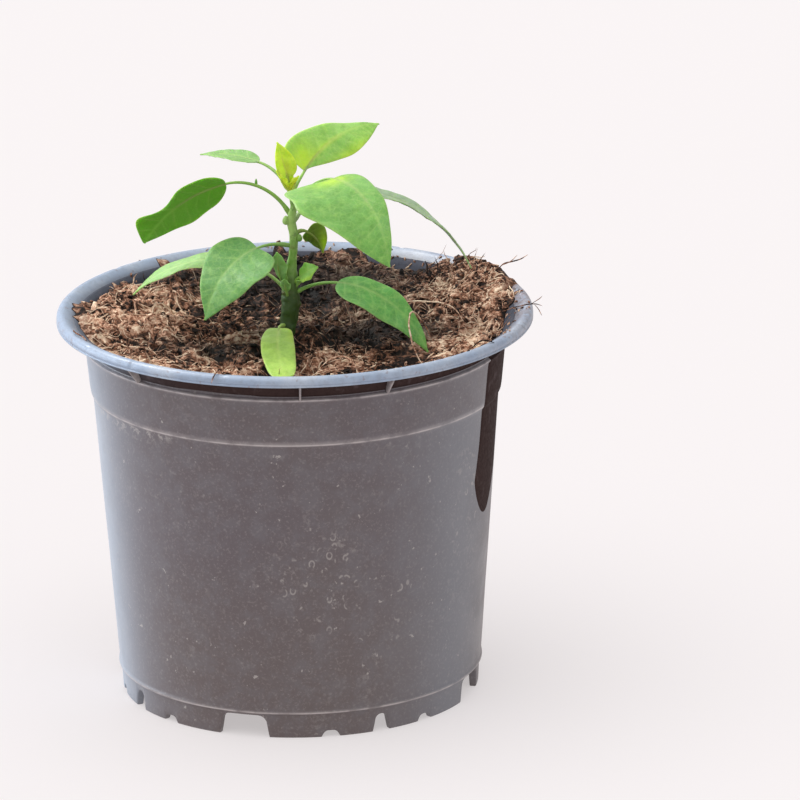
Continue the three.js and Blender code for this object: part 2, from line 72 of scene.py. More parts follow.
def addCamera(setup):
    # The camera stands in front, at its elevation, and looks past the aim by aimRight and aimUp.
    tilt = math.radians(setup["elevation"])
    roll = math.radians(setup["roll"])
    aim = Vector((0, 0, setup["aimHeight"]))
    place = aim + setup["distance"] * Vector((0, -math.cos(tilt), math.sin(tilt)))
    levelUp = Vector((0, math.sin(tilt), math.cos(tilt)))
    middle = aim + setup["aimRight"] * Vector((1, 0, 0)) + setup["aimUp"] * levelUp
    back = (place - middle).normalized()
    right = levelUp.cross(back).normalized()
    up = back.cross(right)
    turnedRight = right * math.cos(roll) - up * math.sin(roll)
    turnedUp = up * math.cos(roll) + right * math.sin(roll)
    data = bpy.data.cameras.new("camera")
    data.lens = setup["lens"]
    data.sensor_width = 36
    data.clip_start, data.clip_end = 0.1, 20
    camera = addObject("camera", data)
    axes = Matrix((turnedRight, turnedUp, back)).transposed()
    camera.matrix_world = Matrix.Translation(place) @ axes.to_4x4()
    bpy.context.scene.camera = camera


addCamera(cameraSetup)


# Mesh helpers. All shapes are worked out in millimetres.

def gridFaces(rows, columns, grids=1):
    # Quads between the neighbours of a grid numbered row by row, whose last column joins the first. Where
    # there are more grids, each has the same faces and their numbers follow on.
    row, column = np.meshgrid(np.arange(rows - 1), np.arange(columns), indexing="ij")
    here = row * columns + column
    beside = row * columns + (column + 1) % columns
    faces = np.stack([here, beside, beside + columns, here + columns], -1).reshape(-1, 4)
    return (faces + (np.arange(grids) * rows * columns)[:, None, None]).reshape(-1, 4)


def gridShell(points, closeEnds=False, **values):
    # A shell from a grid of points (rows, columns, 3). closeEnds adds a row at both ends in which every
    # point is the middle of the row beside it.
    values = {label: np.broadcast_to(value, points.shape[:2]) for label, value in values.items()}
    if closeEnds:
        first, last = (row.mean(1, keepdims=True) + 0 * row for row in (points[:1], points[-1:]))
        points = np.concatenate([first, points, last])
        values = {label: np.concatenate([v[:1], v, v[-1:]]) for label, v in values.items()}
    values = {label: v.ravel() for label, v in values.items()}
    return {"points": points.reshape(-1, 3), "faces": gridFaces(*points.shape[:2]), "values": values}


def shellVolume(points, faces):
    # Six times the volume that the quads enclose: the sum of a . (b x c) over their two triangles.
    a, b, c, d = (points[faces[:, k]] for k in range(4))
    return np.sum(a * np.cross(b, c)) + np.sum(a * np.cross(c, d))


def joinShells(name, shells):
    # One welded mesh from shells, each a dictionary of points, faces and named values per point. Every
    # shell's faces are turned outward.
    points, faces, start = [], [], 0
    for shell in shells:
        outward = shell["faces"]
        if shellVolume(shell["points"], outward) < 0:
            outward = outward[:, ::-1]
        points.append(shell["points"])
        faces.append(outward + start)
        start += len(shell["points"])
    mesh = bpy.data.meshes.new(name)
    mesh.from_pydata((np.concatenate(points) * mm).tolist(), [], np.concatenate(faces).tolist())
    for label in sorted(set().union(*(shell["values"] for shell in shells))):
        parts = [np.broadcast_to(s["values"].get(label, 0.0), len(s["points"])) for s in shells]
        layer = mesh.attributes.new(label, "FLOAT", "POINT")
        layer.data.foreach_set("value", np.concatenate(parts).astype(np.float32))
    weld(mesh)
    return mesh


def weld(mesh):
    # Rows that close on one point become that point, and the quads there become triangles.
    work = bmesh.new()
    work.from_mesh(mesh)
    bmesh.ops.remove_doubles(work, verts=work.verts, dist=weldGap)
    work.to_mesh(mesh)
    work.free()


def addPiece(name, shells, material, node, smooth=True):
    # The joined shells with their material, in place of a node of the frame if one is named.
    mesh = joinShells(name, shells)
    mesh.polygons.foreach_set("use_smooth", np.full(len(mesh.polygons), smooth))
    mesh.materials.append(material)
    piece = addObject(name, mesh)
    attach(piece, "root")
    if node:
        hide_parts(node)
    return piece


def lattice(ix, iy, iz, seed):
    # A fixed number from -1 to 1 for each corner of a cube grid, by mixing the bits of its place.
    mixed = (ix * 374761393 + iy * 668265263 + iz * 1274126177 + seed * 974711) & 0xFFFFFFFF
    mixed = ((mixed ^ (mixed >> 13)) * 1103515245) & 0xFFFFFFFF
    return ((mixed ^ (mixed >> 16)) & 0xFFFF) / 32767.5 - 1


def lumps(points, size, seed):
    # Smooth random swells from -1 to 1: the values of the eight nearest corners, blended by 3t^2 - 2t^3.
    scaled = points / size
    corner = np.floor(scaled).astype(np.int64)
    part = scaled - corner
    part = part * part * (3 - 2 * part)
    total = np.zeros(points.shape[:-1])
    for dx, dy, dz in np.ndindex(2, 2, 2):
        weight = np.abs(1 - dx - part[..., 0]) * np.abs(1 - dy - part[..., 1])
        weight = weight * np.abs(1 - dz - part[..., 2])
        at = lattice(corner[..., 0] + dx, corner[..., 1] + dy, corner[..., 2] + dz, seed)
        total += weight * at
    return total


def ramp(values, low, high):
    # 0 below low and 1 above high, with a smooth step between.
    t = np.clip((values - low) / (high - low), 0, 1)
    return t * t * (3 - 2 * t)


def bell(*ratios):
    # 1 where every ratio is 0, falling off as exp(-(the sum of their squares)).
    return np.exp(-sum(ratio ** 2 for ratio in ratios))


def around(degrees, at):
    # How far round each angle lies from another, from -180 to 180.
    return (degrees - at + 180) % 360 - 180


def ringPoints(radius, angle, height):
    # Points at a distance from the axis, at an angle in radians and a height.
    return np.stack(np.broadcast_arrays(radius * np.cos(angle), radius * np.sin(angle), height), -1)


def unit(vectors):
    # Each vector divided by its own length.
    return vectors / np.maximum(np.linalg.norm(vectors, axis=-1, keepdims=True), 1e-9)


def throughPoints(stations, perSpan):
    # A uniform Catmull-Rom line through stations of any width, with mirrored ends.
    stations = np.asarray(stations, float)
    first = 2 * stations[:1] - stations[1:2]
    final = 2 * stations[-1:] - stations[-2:-1]
    padded = np.concatenate([first, stations, final])
    t = (np.arange(perSpan) / perSpan)[None, :, None]
    a, b, c, d = (padded[k:len(stations) - 1 + k, None, :] for k in range(4))
    line = b + 0.5 * t * (c - a + t * (2 * a - 5 * b + 4 * c - d + t * (3 * (b - c) + d - a)))
    return np.concatenate([line.reshape(-1, stations.shape[1]), stations[-1:]])


def sweep(centres, radii, reference, **values):
    # A tube for each line of centres (lines, steps, 3): a ring of radii (lines, steps, sides) round every
    # centre, square to the line, starting from the reference direction. End rings of radius 0 close it.
    along = unit(np.gradient(centres, axis=1))
    reference = np.broadcast_to(reference, centres.shape)
    side = unit(reference - along * np.sum(along * reference, -1, keepdims=True))
    other = np.cross(along, side)
    lines, steps, sides = radii.shape
    turn = 2 * np.pi * np.arange(sides) / sides
    ring = side[:, :, None] * np.cos(turn)[:, None] + other[:, :, None] * np.sin(turn)[:, None]
    points = centres[:, :, None] + ring * radii[..., None]
    return {"points": points.reshape(-1, 3), "faces": gridFaces(steps, sides, lines), "values": values}


# Materials.

def paint(code):
    # A colour from its six-figure code, made linear as Blender's sockets want it.
    parts = np.array([int(code[k:k + 2], 16) for k in (0, 2, 4)]) / 255
    linear = np.where(parts <= 0.04045, parts / 12.92, ((parts + 0.055) / 1.055) ** 2.4)
    return (*linear.tolist(), 1.0)


class Recipe:
    # A short way to lay out a material's nodes; every call adds one node and returns its output.
    def __init__(self, name):
        self.material = bpy.data.materials.new(name)
        self.material.use_nodes = True
        self.nodes = self.material.node_tree.nodes
        self.links = self.material.node_tree.links
        self.shader = self.nodes["Principled BSDF"]
        self.place = self.nodes.new("ShaderNodeTexCoord").outputs["Object"]

    def feed(self, socket, value):
        # Links another node's output, or sets a plain value.
        if isinstance(value, bpy.types.NodeSocket):
            self.links.new(value, socket)
        else:
            socket.default_value = value

    def attribute(self, label):
        node = self.nodes.new("ShaderNodeAttribute")
        node.attribute_name = label
        return node.outputs["Fac"]

    def stretched(self, scale):
        # The place, scaled along each axis.
        node = self.nodes.new("ShaderNodeMapping")
        node.inputs["Scale"].default_value = scale
        self.feed(node.inputs["Vector"], self.place)
        return node.outputs["Vector"]

    def noise(self, scale, detail=4, roughness=0.55, vector=None):
        node = self.nodes.new("ShaderNodeTexNoise")
        node.inputs["Scale"].default_value = scale
        node.inputs["Detail"].default_value = detail
        node.inputs["Roughness"].default_value = roughness
        self.feed(node.inputs["Vector"], vector or self.place)
        return node.outputs["Fac"]

    def cells(self, scale, feature="F1", vector=None):
        node = self.nodes.new("ShaderNodeTexVoronoi")
        node.feature = feature
        node.inputs["Scale"].default_value = scale
        self.feed(node.inputs["Vector"], vector or self.place)
        return node.outputs["Distance"]

    def range(self, value, low, high, toLow=0.0, toHigh=1.0):
        # A smooth step from toLow to toHigh as the value goes from low to high.
        node = self.nodes.new("ShaderNodeMapRange")
        node.interpolation_type = "SMOOTHSTEP"
        for label, number in (("From Min", low), ("From Max", high), ("To Min", toLow), ("To Max", toHigh)):
            node.inputs[label].default_value = number
        self.feed(node.inputs["Value"], value)
        return node.outputs["Result"]

    def math(self, operation, first, second=0.0):
        node = self.nodes.new("ShaderNodeMath")
        node.operation = operation
        self.feed(node.inputs[0], first)
        self.feed(node.inputs[1], second)
        return node.outputs[0]

    def times(self, first, second):
        return self.math("MULTIPLY", first, second)

    def patches(self, noise, low, high, toLow=0.0, toHigh=1.0):
        # Noise of a scale, detail and roughness, spread out between two of its levels.
        return self.range(self.noise(*noise), low, high, toLow, toHigh)

    def blend(self, amount, first, second, kind="MIX"):
        node = self.nodes.new("ShaderNodeMix")
        node.data_type = "RGBA"
        node.blend_type = kind
        self.feed(node.inputs[0], amount)
        self.feed(node.inputs[6], first)
        self.feed(node.inputs[7], second)
        return node.outputs[2]

    def coat(self, colour, amount, code):
        # The colour with another over it, by an amount.
        return self.blend(amount, colour, paint(code))

    def bump(self, height, strength, distance, under=None):
        node = self.nodes.new("ShaderNodeBump")
        node.inputs["Strength"].default_value = strength
        node.inputs["Distance"].default_value = distance
        self.feed(node.inputs["Height"], height)
        if under:
            self.links.new(under, node.inputs["Normal"])
        return node.outputs["Normal"]

    def finish(self, colour, roughness, normal=None, **fixed):
        self.feed(self.shader.inputs["Base Color"], colour)
        self.feed(self.shader.inputs["Roughness"], roughness)
        if normal:
            self.links.new(normal, self.shader.inputs["Normal"])
        for label, value in fixed.items():
            self.shader.inputs[label.replace("_", " ")].default_value = value
        return self.material


# The pot.

potShape = {
    "rim": potHigh.x / mm,
    "height": potHigh.z / mm,
    "lipDrop": 2.8,         # from the top to the lip's lower edge
    "lipRound": 1.6,
    "ledge": 98.5,
    "step": 85.3,
    "ring": 7.4,
    "foot": 48.9,
    "footWidth": 1.8,
    "floorBottom": 6.4,
    "floorTop": 8.6,
    "columns": 290,
    "rowGap": 3.5,
    "gussets": 15,
    "gussetStart": -89,
    "gussetWidth": 0.55,
    "footStart": -108.7,
    # In each quarter of the foot: degrees from its start, width, height and corner.
    "openings": [(0, 13, 6.2, 2.6), (28, 4.6, 1.8, 1.7), (45, 3.9, 4.9, 1.9), (62, 4.6, 1.8, 1.7)],
    "openingSide": 0.6,     # how far an opening's side slopes
    "drains": 8,
    "drainRadius": 3,
    "drainRing": 40,
    "nicks": [(-150, 0.5), (-133, 0.6), (-108, 0.8), (-51, 0.6), (-24, 0.5), (62, 0.6), (140, 0.5)],
    "nickWidth": 0.45,      # degrees
    "dent": 0.05,           # how far the wall swells in and out, and over what length
    "dentSize": 14,
    "paleEdgeWidth": 0.24,      # of the pale band along the edges
    "coatRoot": 0.2,        # how far the dark coats reach into the wall
}
# The dark band on the right of the wall is a painted reflection of something dark.
darkReflectionShape = {
    "at": -17.5,            # degrees round, at its lower end
    "lean": 4,
    "low": 53,
    "width": 20,
    "full": 0.22,           # the share of its height over which it widens
    "proud": 0.1,
}
# A dark sheet of painted shade over the recess below the lip.
recessShadeFilm = {
    "isInside": False,
    "low": potShape["ledge"] + 0.75,
    "high": potShape["height"] - potShape["lipDrop"] + 0.05,
    "reach": potShape["rim"] - 3.6,
    "proud": 0.17,
    "bleached": 1,
}
# A dark sheet of painted shade over the inner wall.
innerShadeFilm = {
    "isInside": True,
    "low": 90,
    "high": potShape["height"],
    "reach": potShape["rim"] - 4.6,
    "proud": 0.17,
    "bleached": 0.15,
}
potLook = {
    "wall": "5a5054",
    "low": "5e5250",        # a little warmer towards the foot
    "side": "75767d",       # a cool grey: a painted sheen round the front right, and random blotches on the wall and lip
    "bleached": "a7b5c6",   # painted sky reflection: a pale blue sheen round the left
    "collar": "1f191b",     # painted shade in the recess below the lip
    # Painted shade inside the pot and on the lip's inner slope.
    "inside": "2d2a31",
    # The lip's blue-grey is a painted reflection of the sky on its top.
    "lip": "8f9db2",
    "lipDust": "b9bfc8",
    "edge": "c3b9b7",
    "dust": "c4bcb6",
    "dirt": "7f7072",
    # The dark brown of the painted dark reflection on the wall, and of dark bits on the lip.
    "streak": "3b2d2b",
    # The sheet of painted shade over the inner wall.
    "innerShade": "44464f",
    "roughness": (0.38, 0.52),
    # Degrees round and how far each spreads; the marks also have their height and how tall they spread.
    "skySheenAt": (-176, 24),
    "rightSheenAt": (-34, 22),
    "dirtyAt": (14, 34),
    "markedAt": [(-85, 46, 15, 15), (-60, 28, 12, 17), (-30, 60, 9, 20)],
}


def potOutline(pot):
    # Distance from the axis, height, and how much each corner is rounded, out from under the floor,
    # up the wall, over the lip and down the inside.
    rim, top, foot = pot["rim"], pot["height"], pot["foot"]
    lip, ledge, step, ring = top - pot["lipDrop"], pot["ledge"], pot["step"], pot["ring"]
    crown = rim - pot["lipRound"]
    shoulder = top - pot["lipRound"]
    under = [(0, pot["floorBottom"], 0), (foot - pot["footWidth"] - 0.3, pot["floorBottom"], 0.3)]
    feet = [(foot - pot["footWidth"], 0, 0.3), (foot, 0, 0.4), (foot + 0.4, ring - 0.7, 0.2),
            (foot + 1.2, ring - 0.1, 0.3), (foot + 0.8, ring + 0.9, 0.4)]
    wall = [(rim - 9.6, step - 0.9, 0.5), (rim - 9, step, 0.25), (rim - 8.7, step + 1.8, 0.5),
            (rim - 7.7, ledge - 0.9, 0.3), (rim - 7, ledge, 0.25), (rim - 7.9, ledge + 0.7, 0.3)]
    flare = [(rim - 6.7, lip - 1.7, 0.6), (rim - 5.6, lip - 0.5, 0.5), (rim - 3.8, lip, 0.4),
             (rim - 3.4, lip + 0.6, 0.2), (rim - 1.4, lip + 0.6, 0.2), (rim - 1, lip, 0.2)]
    bead = [(rim, lip, 0.3), (rim, lip + 0.35, 0.15), (rim - 0.28, lip + 0.6, 0.15),
            (rim, lip + 0.85, 0.15)]
    turn = np.radians(np.linspace(0, 135, 9))
    arc = [(crown + pot["lipRound"] * math.cos(a), shoulder + pot["lipRound"] * math.sin(a), 0)
           for a in turn]
    inside = [(crown - 2.8, top - 1.5, 0.6), (crown - 4.8, lip, 0.6), (rim - 7.9, lip - 2.5, 0.6),
              (rim - 9.1, ledge - 0.9, 0.5), (rim - 9.9, step + 1, 0.4), (rim - 10.9, step - 1.4, 0.4),
              (foot - 0.2, pot["floorTop"] + 1.4, 0.6), (foot - 1.4, pot["floorTop"], 0.5),
              (0, pot["floorTop"], 0)]
    return np.array(under + feet + wall + flare + bead + arc + inside)


def roundedOutline(outline, gap):
    # Cuts each corner back by its rounding and bridges it with a parabola, then splits long runs.
    line = [outline[0, :2]]
    for before, corner, after in zip(outline[:-2], outline[1:-1], outline[2:]):
        spot, rounding = corner[:2], corner[2]
        toBefore, toAfter = before[:2] - spot, after[:2] - spot
        cut = min(rounding, 0.45 * np.linalg.norm(toBefore), 0.45 * np.linalg.norm(toAfter))
        if cut > 0:
            start = spot + unit(toBefore) * cut
            end = spot + unit(toAfter) * cut
            line += [(1 - t) ** 2 * start + 2 * t * (1 - t) * spot + t * t * end
                     for t in (0, 0.5, 1)]
        else:
            line.append(spot)
    line.append(outline[-1, :2])
    line = np.array(line)
    lengths = np.linalg.norm(np.diff(line, axis=0), axis=1)
    runs = [np.linspace(a, b, max(2, int(size // gap) + 2))[:-1]
            for a, b, size in zip(line, line[1:], lengths)]
    return np.concatenate([*runs, line[-1:]])


def footLift(degrees, pot):
    # How high the foot's lower edge rises at each angle: level over an opening, rounded at its corners.
    height = np.zeros_like(degrees)
    for quarter in range(4):
        for middle, width, top, corner in pot["openings"]:
            away = around(degrees - pot["footStart"] - 90 * quarter, middle)
            away = np.abs(np.radians(away)) * pot["foot"]
            inward = np.clip((width / 2 - away) / corner, 0, 1)
            curved = (top - corner) + corner * np.sqrt(1 - (1 - inward) ** 2)
            side = (top - corner) * np.clip(1 - (away - width / 2) / pot["openingSide"], 0, 1)
            height = np.maximum(height, np.where(away < width / 2, curved, side))
    return height


def potAngles(pot):
    # Even columns, with closer ones at both sides of every opening between the feet.
    even = np.arange(pot["columns"]) * 360 / pot["columns"] - 180
    near = [even]
    spread = np.linspace(-0.8, 2.2, 7)      # degrees inward from an opening's side
    for quarter in range(4):
        for middle, width, *_ in pot["openings"]:
            half = np.degrees(width / 2 / pot["foot"])
            for sign in (-1, 1):
                near.append(pot["footStart"] + 90 * quarter + middle + sign * (half - spread))
    degrees = np.sort((np.concatenate(near) + 180) % 360 - 180)
    keep = np.concatenate([[True], np.diff(degrees) > 0.05])
    return degrees[keep]


def makePot(pot, look):
    # The outline turned round the axis: point = (r cos a, r sin a, z), with the foot's edge raised over its
    # openings, nicks in the lip and a wall that swells a little.
    outline = roundedOutline(potOutline(pot), pot["rowGap"])
    degrees = potAngles(pot)[None, :]
    angle = np.radians(degrees)
    radius, height = outline[:, :1], outline[:, 1:]
    rim, lipLow = pot["rim"], pot["height"] - pot["lipDrop"]
    footTop = pot["ring"] - 0.8
    isFoot = (radius > pot["foot"] - pot["footWidth"] - 0.25) & (height < footTop)
    lift = footLift(degrees, pot) * np.clip(1 - height / footTop, 0, 1) * isFoot
    onLip = ramp(height, pot["height"] - 2.4, pot["height"] - 1.6) * (radius > rim - 3)
    nick = sum(depth * bell((degrees - at) / pot["nickWidth"]) for at, depth in pot["nicks"])
    swell = pot["dent"] * lumps(ringPoints(radius, angle, height), pot["dentSize"], 3)
    dent = swell * (height > footTop) - 0.5 * nick * onLip
    points = ringPoints(radius + dent * (radius > 20), angle, height + lift - 0.35 * nick * onLip)

    row = np.arange(len(outline))[:, None]
    pastCrown = row > np.argmax(height)
    isInside = pastCrown & (radius < rim - 6)
    edges = (pot["ledge"], pot["step"], pot["ring"] - 0.1)
    paleEdge = sum(bell((height - edge) / pot["paleEdgeWidth"]) for edge in edges)
    # Painted shade in the recess below the lip.
    collar = ramp(height, pot["ledge"] + 0.7, pot["ledge"] + 1.6)
    collar = collar * (height < lipLow + 0.1) * (radius < rim - 1)
    marked = sum(bell((degrees - at) / spread, (height - level) / tall)
                 for at, level, spread, tall in look["markedAt"])
    # The first is a painted reflection of the sky round the left, the second a painted sheen round the
    # front right; the third is dirt near the heap.
    bleached, cool, dirty = (bell(around(degrees, look[label][0]) / look[label][1])
                             for label in ("skySheenAt", "rightSheenAt", "dirtyAt"))
    return gridShell(
        points,
        lip=np.where(isInside, 0, ramp(height, lipLow - 0.4, lipLow + 0.2)),
        edge=paleEdge * (radius > pot["foot"] + 0.3) * (row <= 0.8 * len(outline)),
        collar=np.where(isInside, 0, collar),
        # Painted shade inside the pot, and less of it on the lip's inner slope.
        inside=np.where(isInside, 1, 0.7 * ramp(-radius, 2.4 - rim, 5.4 - rim) * pastCrown),
        low=ramp(-height, -60, -15),
        shelf=bell((height - pot["step"] + 1.6) / 1.5) * (radius > pot["foot"]),
        marked=np.minimum(marked, 1),
        bleached=bleached,
        # A painted sheen round the front right, weaker above the step.
        cool=cool * (1 - 0.7 * ramp(height, pot["step"] - 1, pot["step"] + 2)),
        dirty=dirty,
    )


def makeFilm(pot, film, look):
    # A thin skin over one stretch of the outline, all the way round: the stretch's points moved out a
    # little, and back along the same points inside the wall.
    # The skin is a dark sheet that stands in for painted shade.
    outline = roundedOutline(potOutline(pot), 1)
    crown = np.argmax(outline[:, 1])
    outline = outline[crown:] if film["isInside"] else outline[:crown]
    radius, height = outline.T
    wanted = (height > film["low"]) & (height < film["high"]) & (radius < film["reach"])
    strip = outline[wanted & (radius > pot["foot"])]
    along = unit(np.gradient(strip, axis=0))
    outward = np.stack([along[:, 1], -along[:, 0]], -1)
    proud = film["proud"] * np.sin(np.linspace(0.1, np.pi - 0.1, len(strip)))[:, None]
    loop = np.concatenate([strip + proud * outward, (strip - pot["coatRoot"] * outward)[::-1]])
    loop = np.concatenate([loop, loop[:1]])
    degrees = np.arange(pot["columns"]) * 360 / pot["columns"]
    # The films turn pale blue round the left with the painted sky reflection.
    at, spread = look["skySheenAt"]
    return gridShell(ringPoints(loop[:, :1], np.radians(degrees), loop[:, 1:]),
                     bleached=film["bleached"] * bell(around(degrees, at) / spread))


def makeDarkReflection(pot, streak):
    # A dark film on the wall that stands in for a painted dark reflection: at each height the wall's outer
    # radius plus a little, between two angles that come together downwards as the square root of the height
    # above the lower end. It is closed along its edge.
    outline = roundedOutline(potOutline(pot), pot["rowGap"])
    outer = outline[np.argmax(outline[:, 0] > pot["foot"]):]
    outer = outer[:np.argmax(outer[:, 1] > pot["height"] - pot["lipDrop"] - 0.3)]
    steps = np.linspace(streak["low"], outer[-1, 1], 90)
    height = np.unique(np.concatenate([steps, outer[outer[:, 1] > streak["low"], 1]]))
    radius = np.interp(height, outer[:, 1], outer[:, 0])
    share = (height - streak["low"]) / (height[-1] - streak["low"])
    half = streak["width"] / 2 * np.clip(share / streak["full"], 0, 1) ** 0.5
    half = half * (1 + 0.05 * np.sin(9 * share))
    side = np.linspace(-1, 1, 13)
    angle = np.radians(streak["at"] + streak["lean"] * share[:, None])
    angle = angle + side * half[:, None] / radius[:, None]
    proud = streak["proud"] * np.clip((1 - np.abs(side)) * 6, 0, 1)
    outer, inner = (ringPoints(radius[:, None] + lift, angle, height[:, None])
                    for lift in (proud, -pot["coatRoot"]))
    return gridShell(np.concatenate([outer, inner[:, ::-1]], 1), closeEnds=True, bleached=0.0)


def makeGusset(pot, number):
    # A flat fin between the ledge and the lip, its six-sided outline pushed out by half its width each way.
    rim, lip, ledge = pot["rim"], pot["height"] - pot["lipDrop"], pot["ledge"]
    outline = np.array([(rim - 8.2, ledge + 0.1), (rim - 6.8, ledge + 0.1), (rim - 2.2, lip + 0.1),
                        (rim - 2.2, lip + 0.8), (rim - 4.4, lip + 0.4), (rim - 7, lip - 1.4)])
    angle = math.radians(pot["gussetStart"] + 360 * number / pot["gussets"])
    out = np.array([math.cos(angle), math.sin(angle), 0])
    aside = np.array([-math.sin(angle), math.cos(angle), 0])
    flat = outline[:, :1] * out + outline[:, 1:] * np.array([0, 0, 1])
    centre = flat.mean(0)
    shares = np.array([0, 0.86, 1, 1, 0.86, 0])[:, None, None]
    offsets = np.array([-0.5, -0.5, -0.36, 0.36, 0.5, 0.5])[:, None, None] * pot["gussetWidth"]
    points = centre + (flat - centre)[None] * shares + offsets * aside
    return gridShell(points, edge=0.8)


def cutDrains(piece, pot):
    # Round holes through the floor, cut with a ring of short cylinders.
    shells = []
    for number in range(pot["drains"]):
        angle = math.radians(pot["footStart"] + 360 * number / pot["drains"])
        centres = np.zeros((1, 4, 3))
        centres[..., 0] = pot["drainRing"] * math.cos(angle)
        centres[..., 1] = pot["drainRing"] * math.sin(angle)
        centres[..., 2] = np.array([-2, -2, 2, 2]) + pot["floorTop"] - 1 + np.array([-0.01, 0, 0, 0.01])
        radii = np.broadcast_to(np.array([0, 1, 1, 0])[None, :, None] * pot["drainRadius"], (1, 4, 32))
        shells.append(sweep(centres, radii, (1, 0, 0)))
    cutter = addObject("drainCutter", joinShells("drainCutter", shells))
    hole = piece.modifiers.new("drains", "BOOLEAN")
    hole.operation = "DIFFERENCE"
    hole.solver = "EXACT"
    hole.object = cutter
    graph = bpy.context.evaluated_depsgraph_get()
    cut = bpy.data.meshes.new_from_object(piece.evaluated_get(graph), depsgraph=graph)
    piece.modifiers.remove(hole)
    piece.data = cut
    cut.name = piece.name
    bpy.data.objects.remove(cutter)


def potPlastic(look):
    # Satin plastic with painted light and shade: a pale blue painted sky reflection round the left, a
    # painted sheen round the front right, a lip painted blue-grey by the sky's reflection and painted shade
    # in the recess and inside. It has a fine grain, specks, dried curls and rings, and is paler along its
    # edges.
    r = Recipe("potPlastic")
    colour = r.blend(r.patches((18, 3), 0.3, 0.7, 0, 0.5), paint(look["wall"]), paint(look["low"]))
    colour = r.coat(colour, r.times(r.attribute("low"), 0.7), look["low"])
    # Painted sheen round the front right.
    colour = r.coat(colour, r.times(r.attribute("cool"), 0.8), look["side"])
    # Painted sky reflection: pale blue round the left.
    colour = r.coat(colour, r.times(r.attribute("bleached"), 0.75), look["bleached"])
    # Painted shade in the recess, lighter where the painted sky reflection is.
    shadow = r.times(r.attribute("collar"), r.range(r.attribute("bleached"), 0.2, 0.9, 0.95, 0.35))
    colour = r.coat(colour, shadow, look["collar"])
    grain = r.noise(1300, 3, 0.7)
    colour = r.coat(colour, r.range(grain, 0.5, 0.75, 0, 0.16), look["dust"])
    patch = r.patches((38, 3), 0.48, 0.66)
    speck = r.times(r.range(r.cells(420), 0.22, 0.12), patch)
    grit = r.times(r.patches((520, 3, 0.6), 0.66, 0.71), r.patches((90, 2), 0.5, 0.56))
    blotch = r.patches((150, 5, 0.75), 0.4, 0.66, 0, 0.2)
    colour = r.coat(colour, blotch, look["side"])
    spot = r.cells(430, vector=r.stretched((1, 1, 0.7)))
    ring = r.times(r.range(spot, 0.2, 0.27), r.range(spot, 0.42, 0.34))
    ring = r.times(ring, r.range(r.attribute("marked"), 0.15, 0.6))
    ring = r.times(ring, r.patches((340, 2), 0.5, 0.56))
    ring = r.times(ring, r.patches((60, 2), 0.44, 0.54))
    marks = r.math("MAXIMUM", r.math("MAXIMUM", r.times(speck, 0.22), grit), r.times(ring, 0.75))
    smear = r.times(r.patches((420, 4, 0.7), 0.54, 0.64), r.patches((80, 2), 0.54, 0.62))
    smear = r.times(smear, r.range(r.attribute("marked"), 0.1, 0.6, 0.35, 1))
    crust = r.times(r.attribute("shelf"), r.patches((420, 4, 0.75), 0.5, 0.6))
    crust = r.times(crust, r.patches((32, 2), 0.46, 0.56))
    marks = r.math("MAXIMUM", marks, r.math("MAXIMUM", r.times(smear, 0.45), crust))
    colour = r.coat(colour, r.times(marks, 0.46), look["dust"])
    paleEdge = r.times(r.attribute("edge"), r.patches((190, 3), 0.3, 0.62, 0.25, 0.9))
    colour = r.coat(colour, paleEdge, look["edge"])
    # The lip: blue-grey as a painted reflection of the sky, with dust, dirt and specks over it.
    lip = r.blend(r.patches((80, 4), 0.42, 0.72, 0, 0.5), paint(look["lip"]), paint(look["lipDust"]))
    lip = r.coat(lip, r.patches((600, 4, 0.7), 0.4, 0.7, 0, 0.3), look["side"])
    smudge = r.times(r.attribute("dirty"), r.patches((420, 4, 0.7), 0.34, 0.56))
    lip = r.coat(lip, r.times(smudge, 0.8), look["dirt"])
    bit = r.times(r.attribute("dirty"), r.patches((800, 3, 0.7), 0.56, 0.62))
    lip = r.coat(lip, r.times(bit, 0.8), look["streak"])
    lip = r.coat(lip, r.patches((520, 3), 0.63, 0.7, 0, 0.55), look["dirt"])
    colour = r.blend(r.attribute("lip"), colour, lip)
    # Painted shade inside the pot and on the lip's inner slope.
    colour = r.coat(colour, r.attribute("inside"), look["inside"])
    low, high = look["roughness"]
    dull = r.math("ADD", r.patches((70, 4), 0.35, 0.7, low, high), r.times(marks, 0.3))
    height = r.math("ADD", r.times(grain, 0.4), marks)
    normal = r.bump(height, 0.35, 0.0001, r.bump(r.noise(260, 2), 0.15, 0.0002))
    return r.finish(colour, dull, normal, Coat_Weight=0.15, Coat_Roughness=0.22)


def darkFilm(name, base, look):
    # A dark dull coat, grained and smudged: painted shade in the recess and inside the pot, and a painted
    # dark reflection on the wall. It turns pale blue with the painted sky reflection where the wall does.
    r = Recipe(name)
    grain = r.noise(900, 3, 0.7)
    colour = r.blend(r.range(grain, 0.45, 0.8, 0, 0.4), paint(base), paint(look["collar"]))
    colour = r.coat(colour, r.patches((300, 3), 0.55, 0.75, 0, 0.2), look["dirt"])
    colour = r.coat(colour, r.attribute("bleached"), look["bleached"])
    return r.finish(colour, r.range(grain, 0.3, 0.7, 0.6, 0.8), r.bump(grain, 0.3, 0.0001),
                    Specular_IOR_Level=0.03)


gussets = [makeGusset(potShape, number) for number in range(potShape["gussets"])]
potPiece = addPiece("pot_shell", [makePot(potShape, potLook)] + gussets, potPlastic(potLook), "pot")
cutDrains(potPiece, potShape)
dampWall = darkFilm("dampWall", potLook["streak"], potLook)
dampLining = darkFilm("dampLining", potLook["innerShade"], potLook)
addPiece("pot_dark_reflection", [makeDarkReflection(potShape, darkReflectionShape)], dampWall, None)
addPiece("pot_recess_shade", [makeFilm(potShape, recessShadeFilm, potLook)], dampWall, None)
addPiece("pot_inner_shade", [makeFilm(potShape, innerShadeFilm, potLook)], dampLining, None)
print("pot made:", len(potPiece.data.vertices), "points")


# The soil.

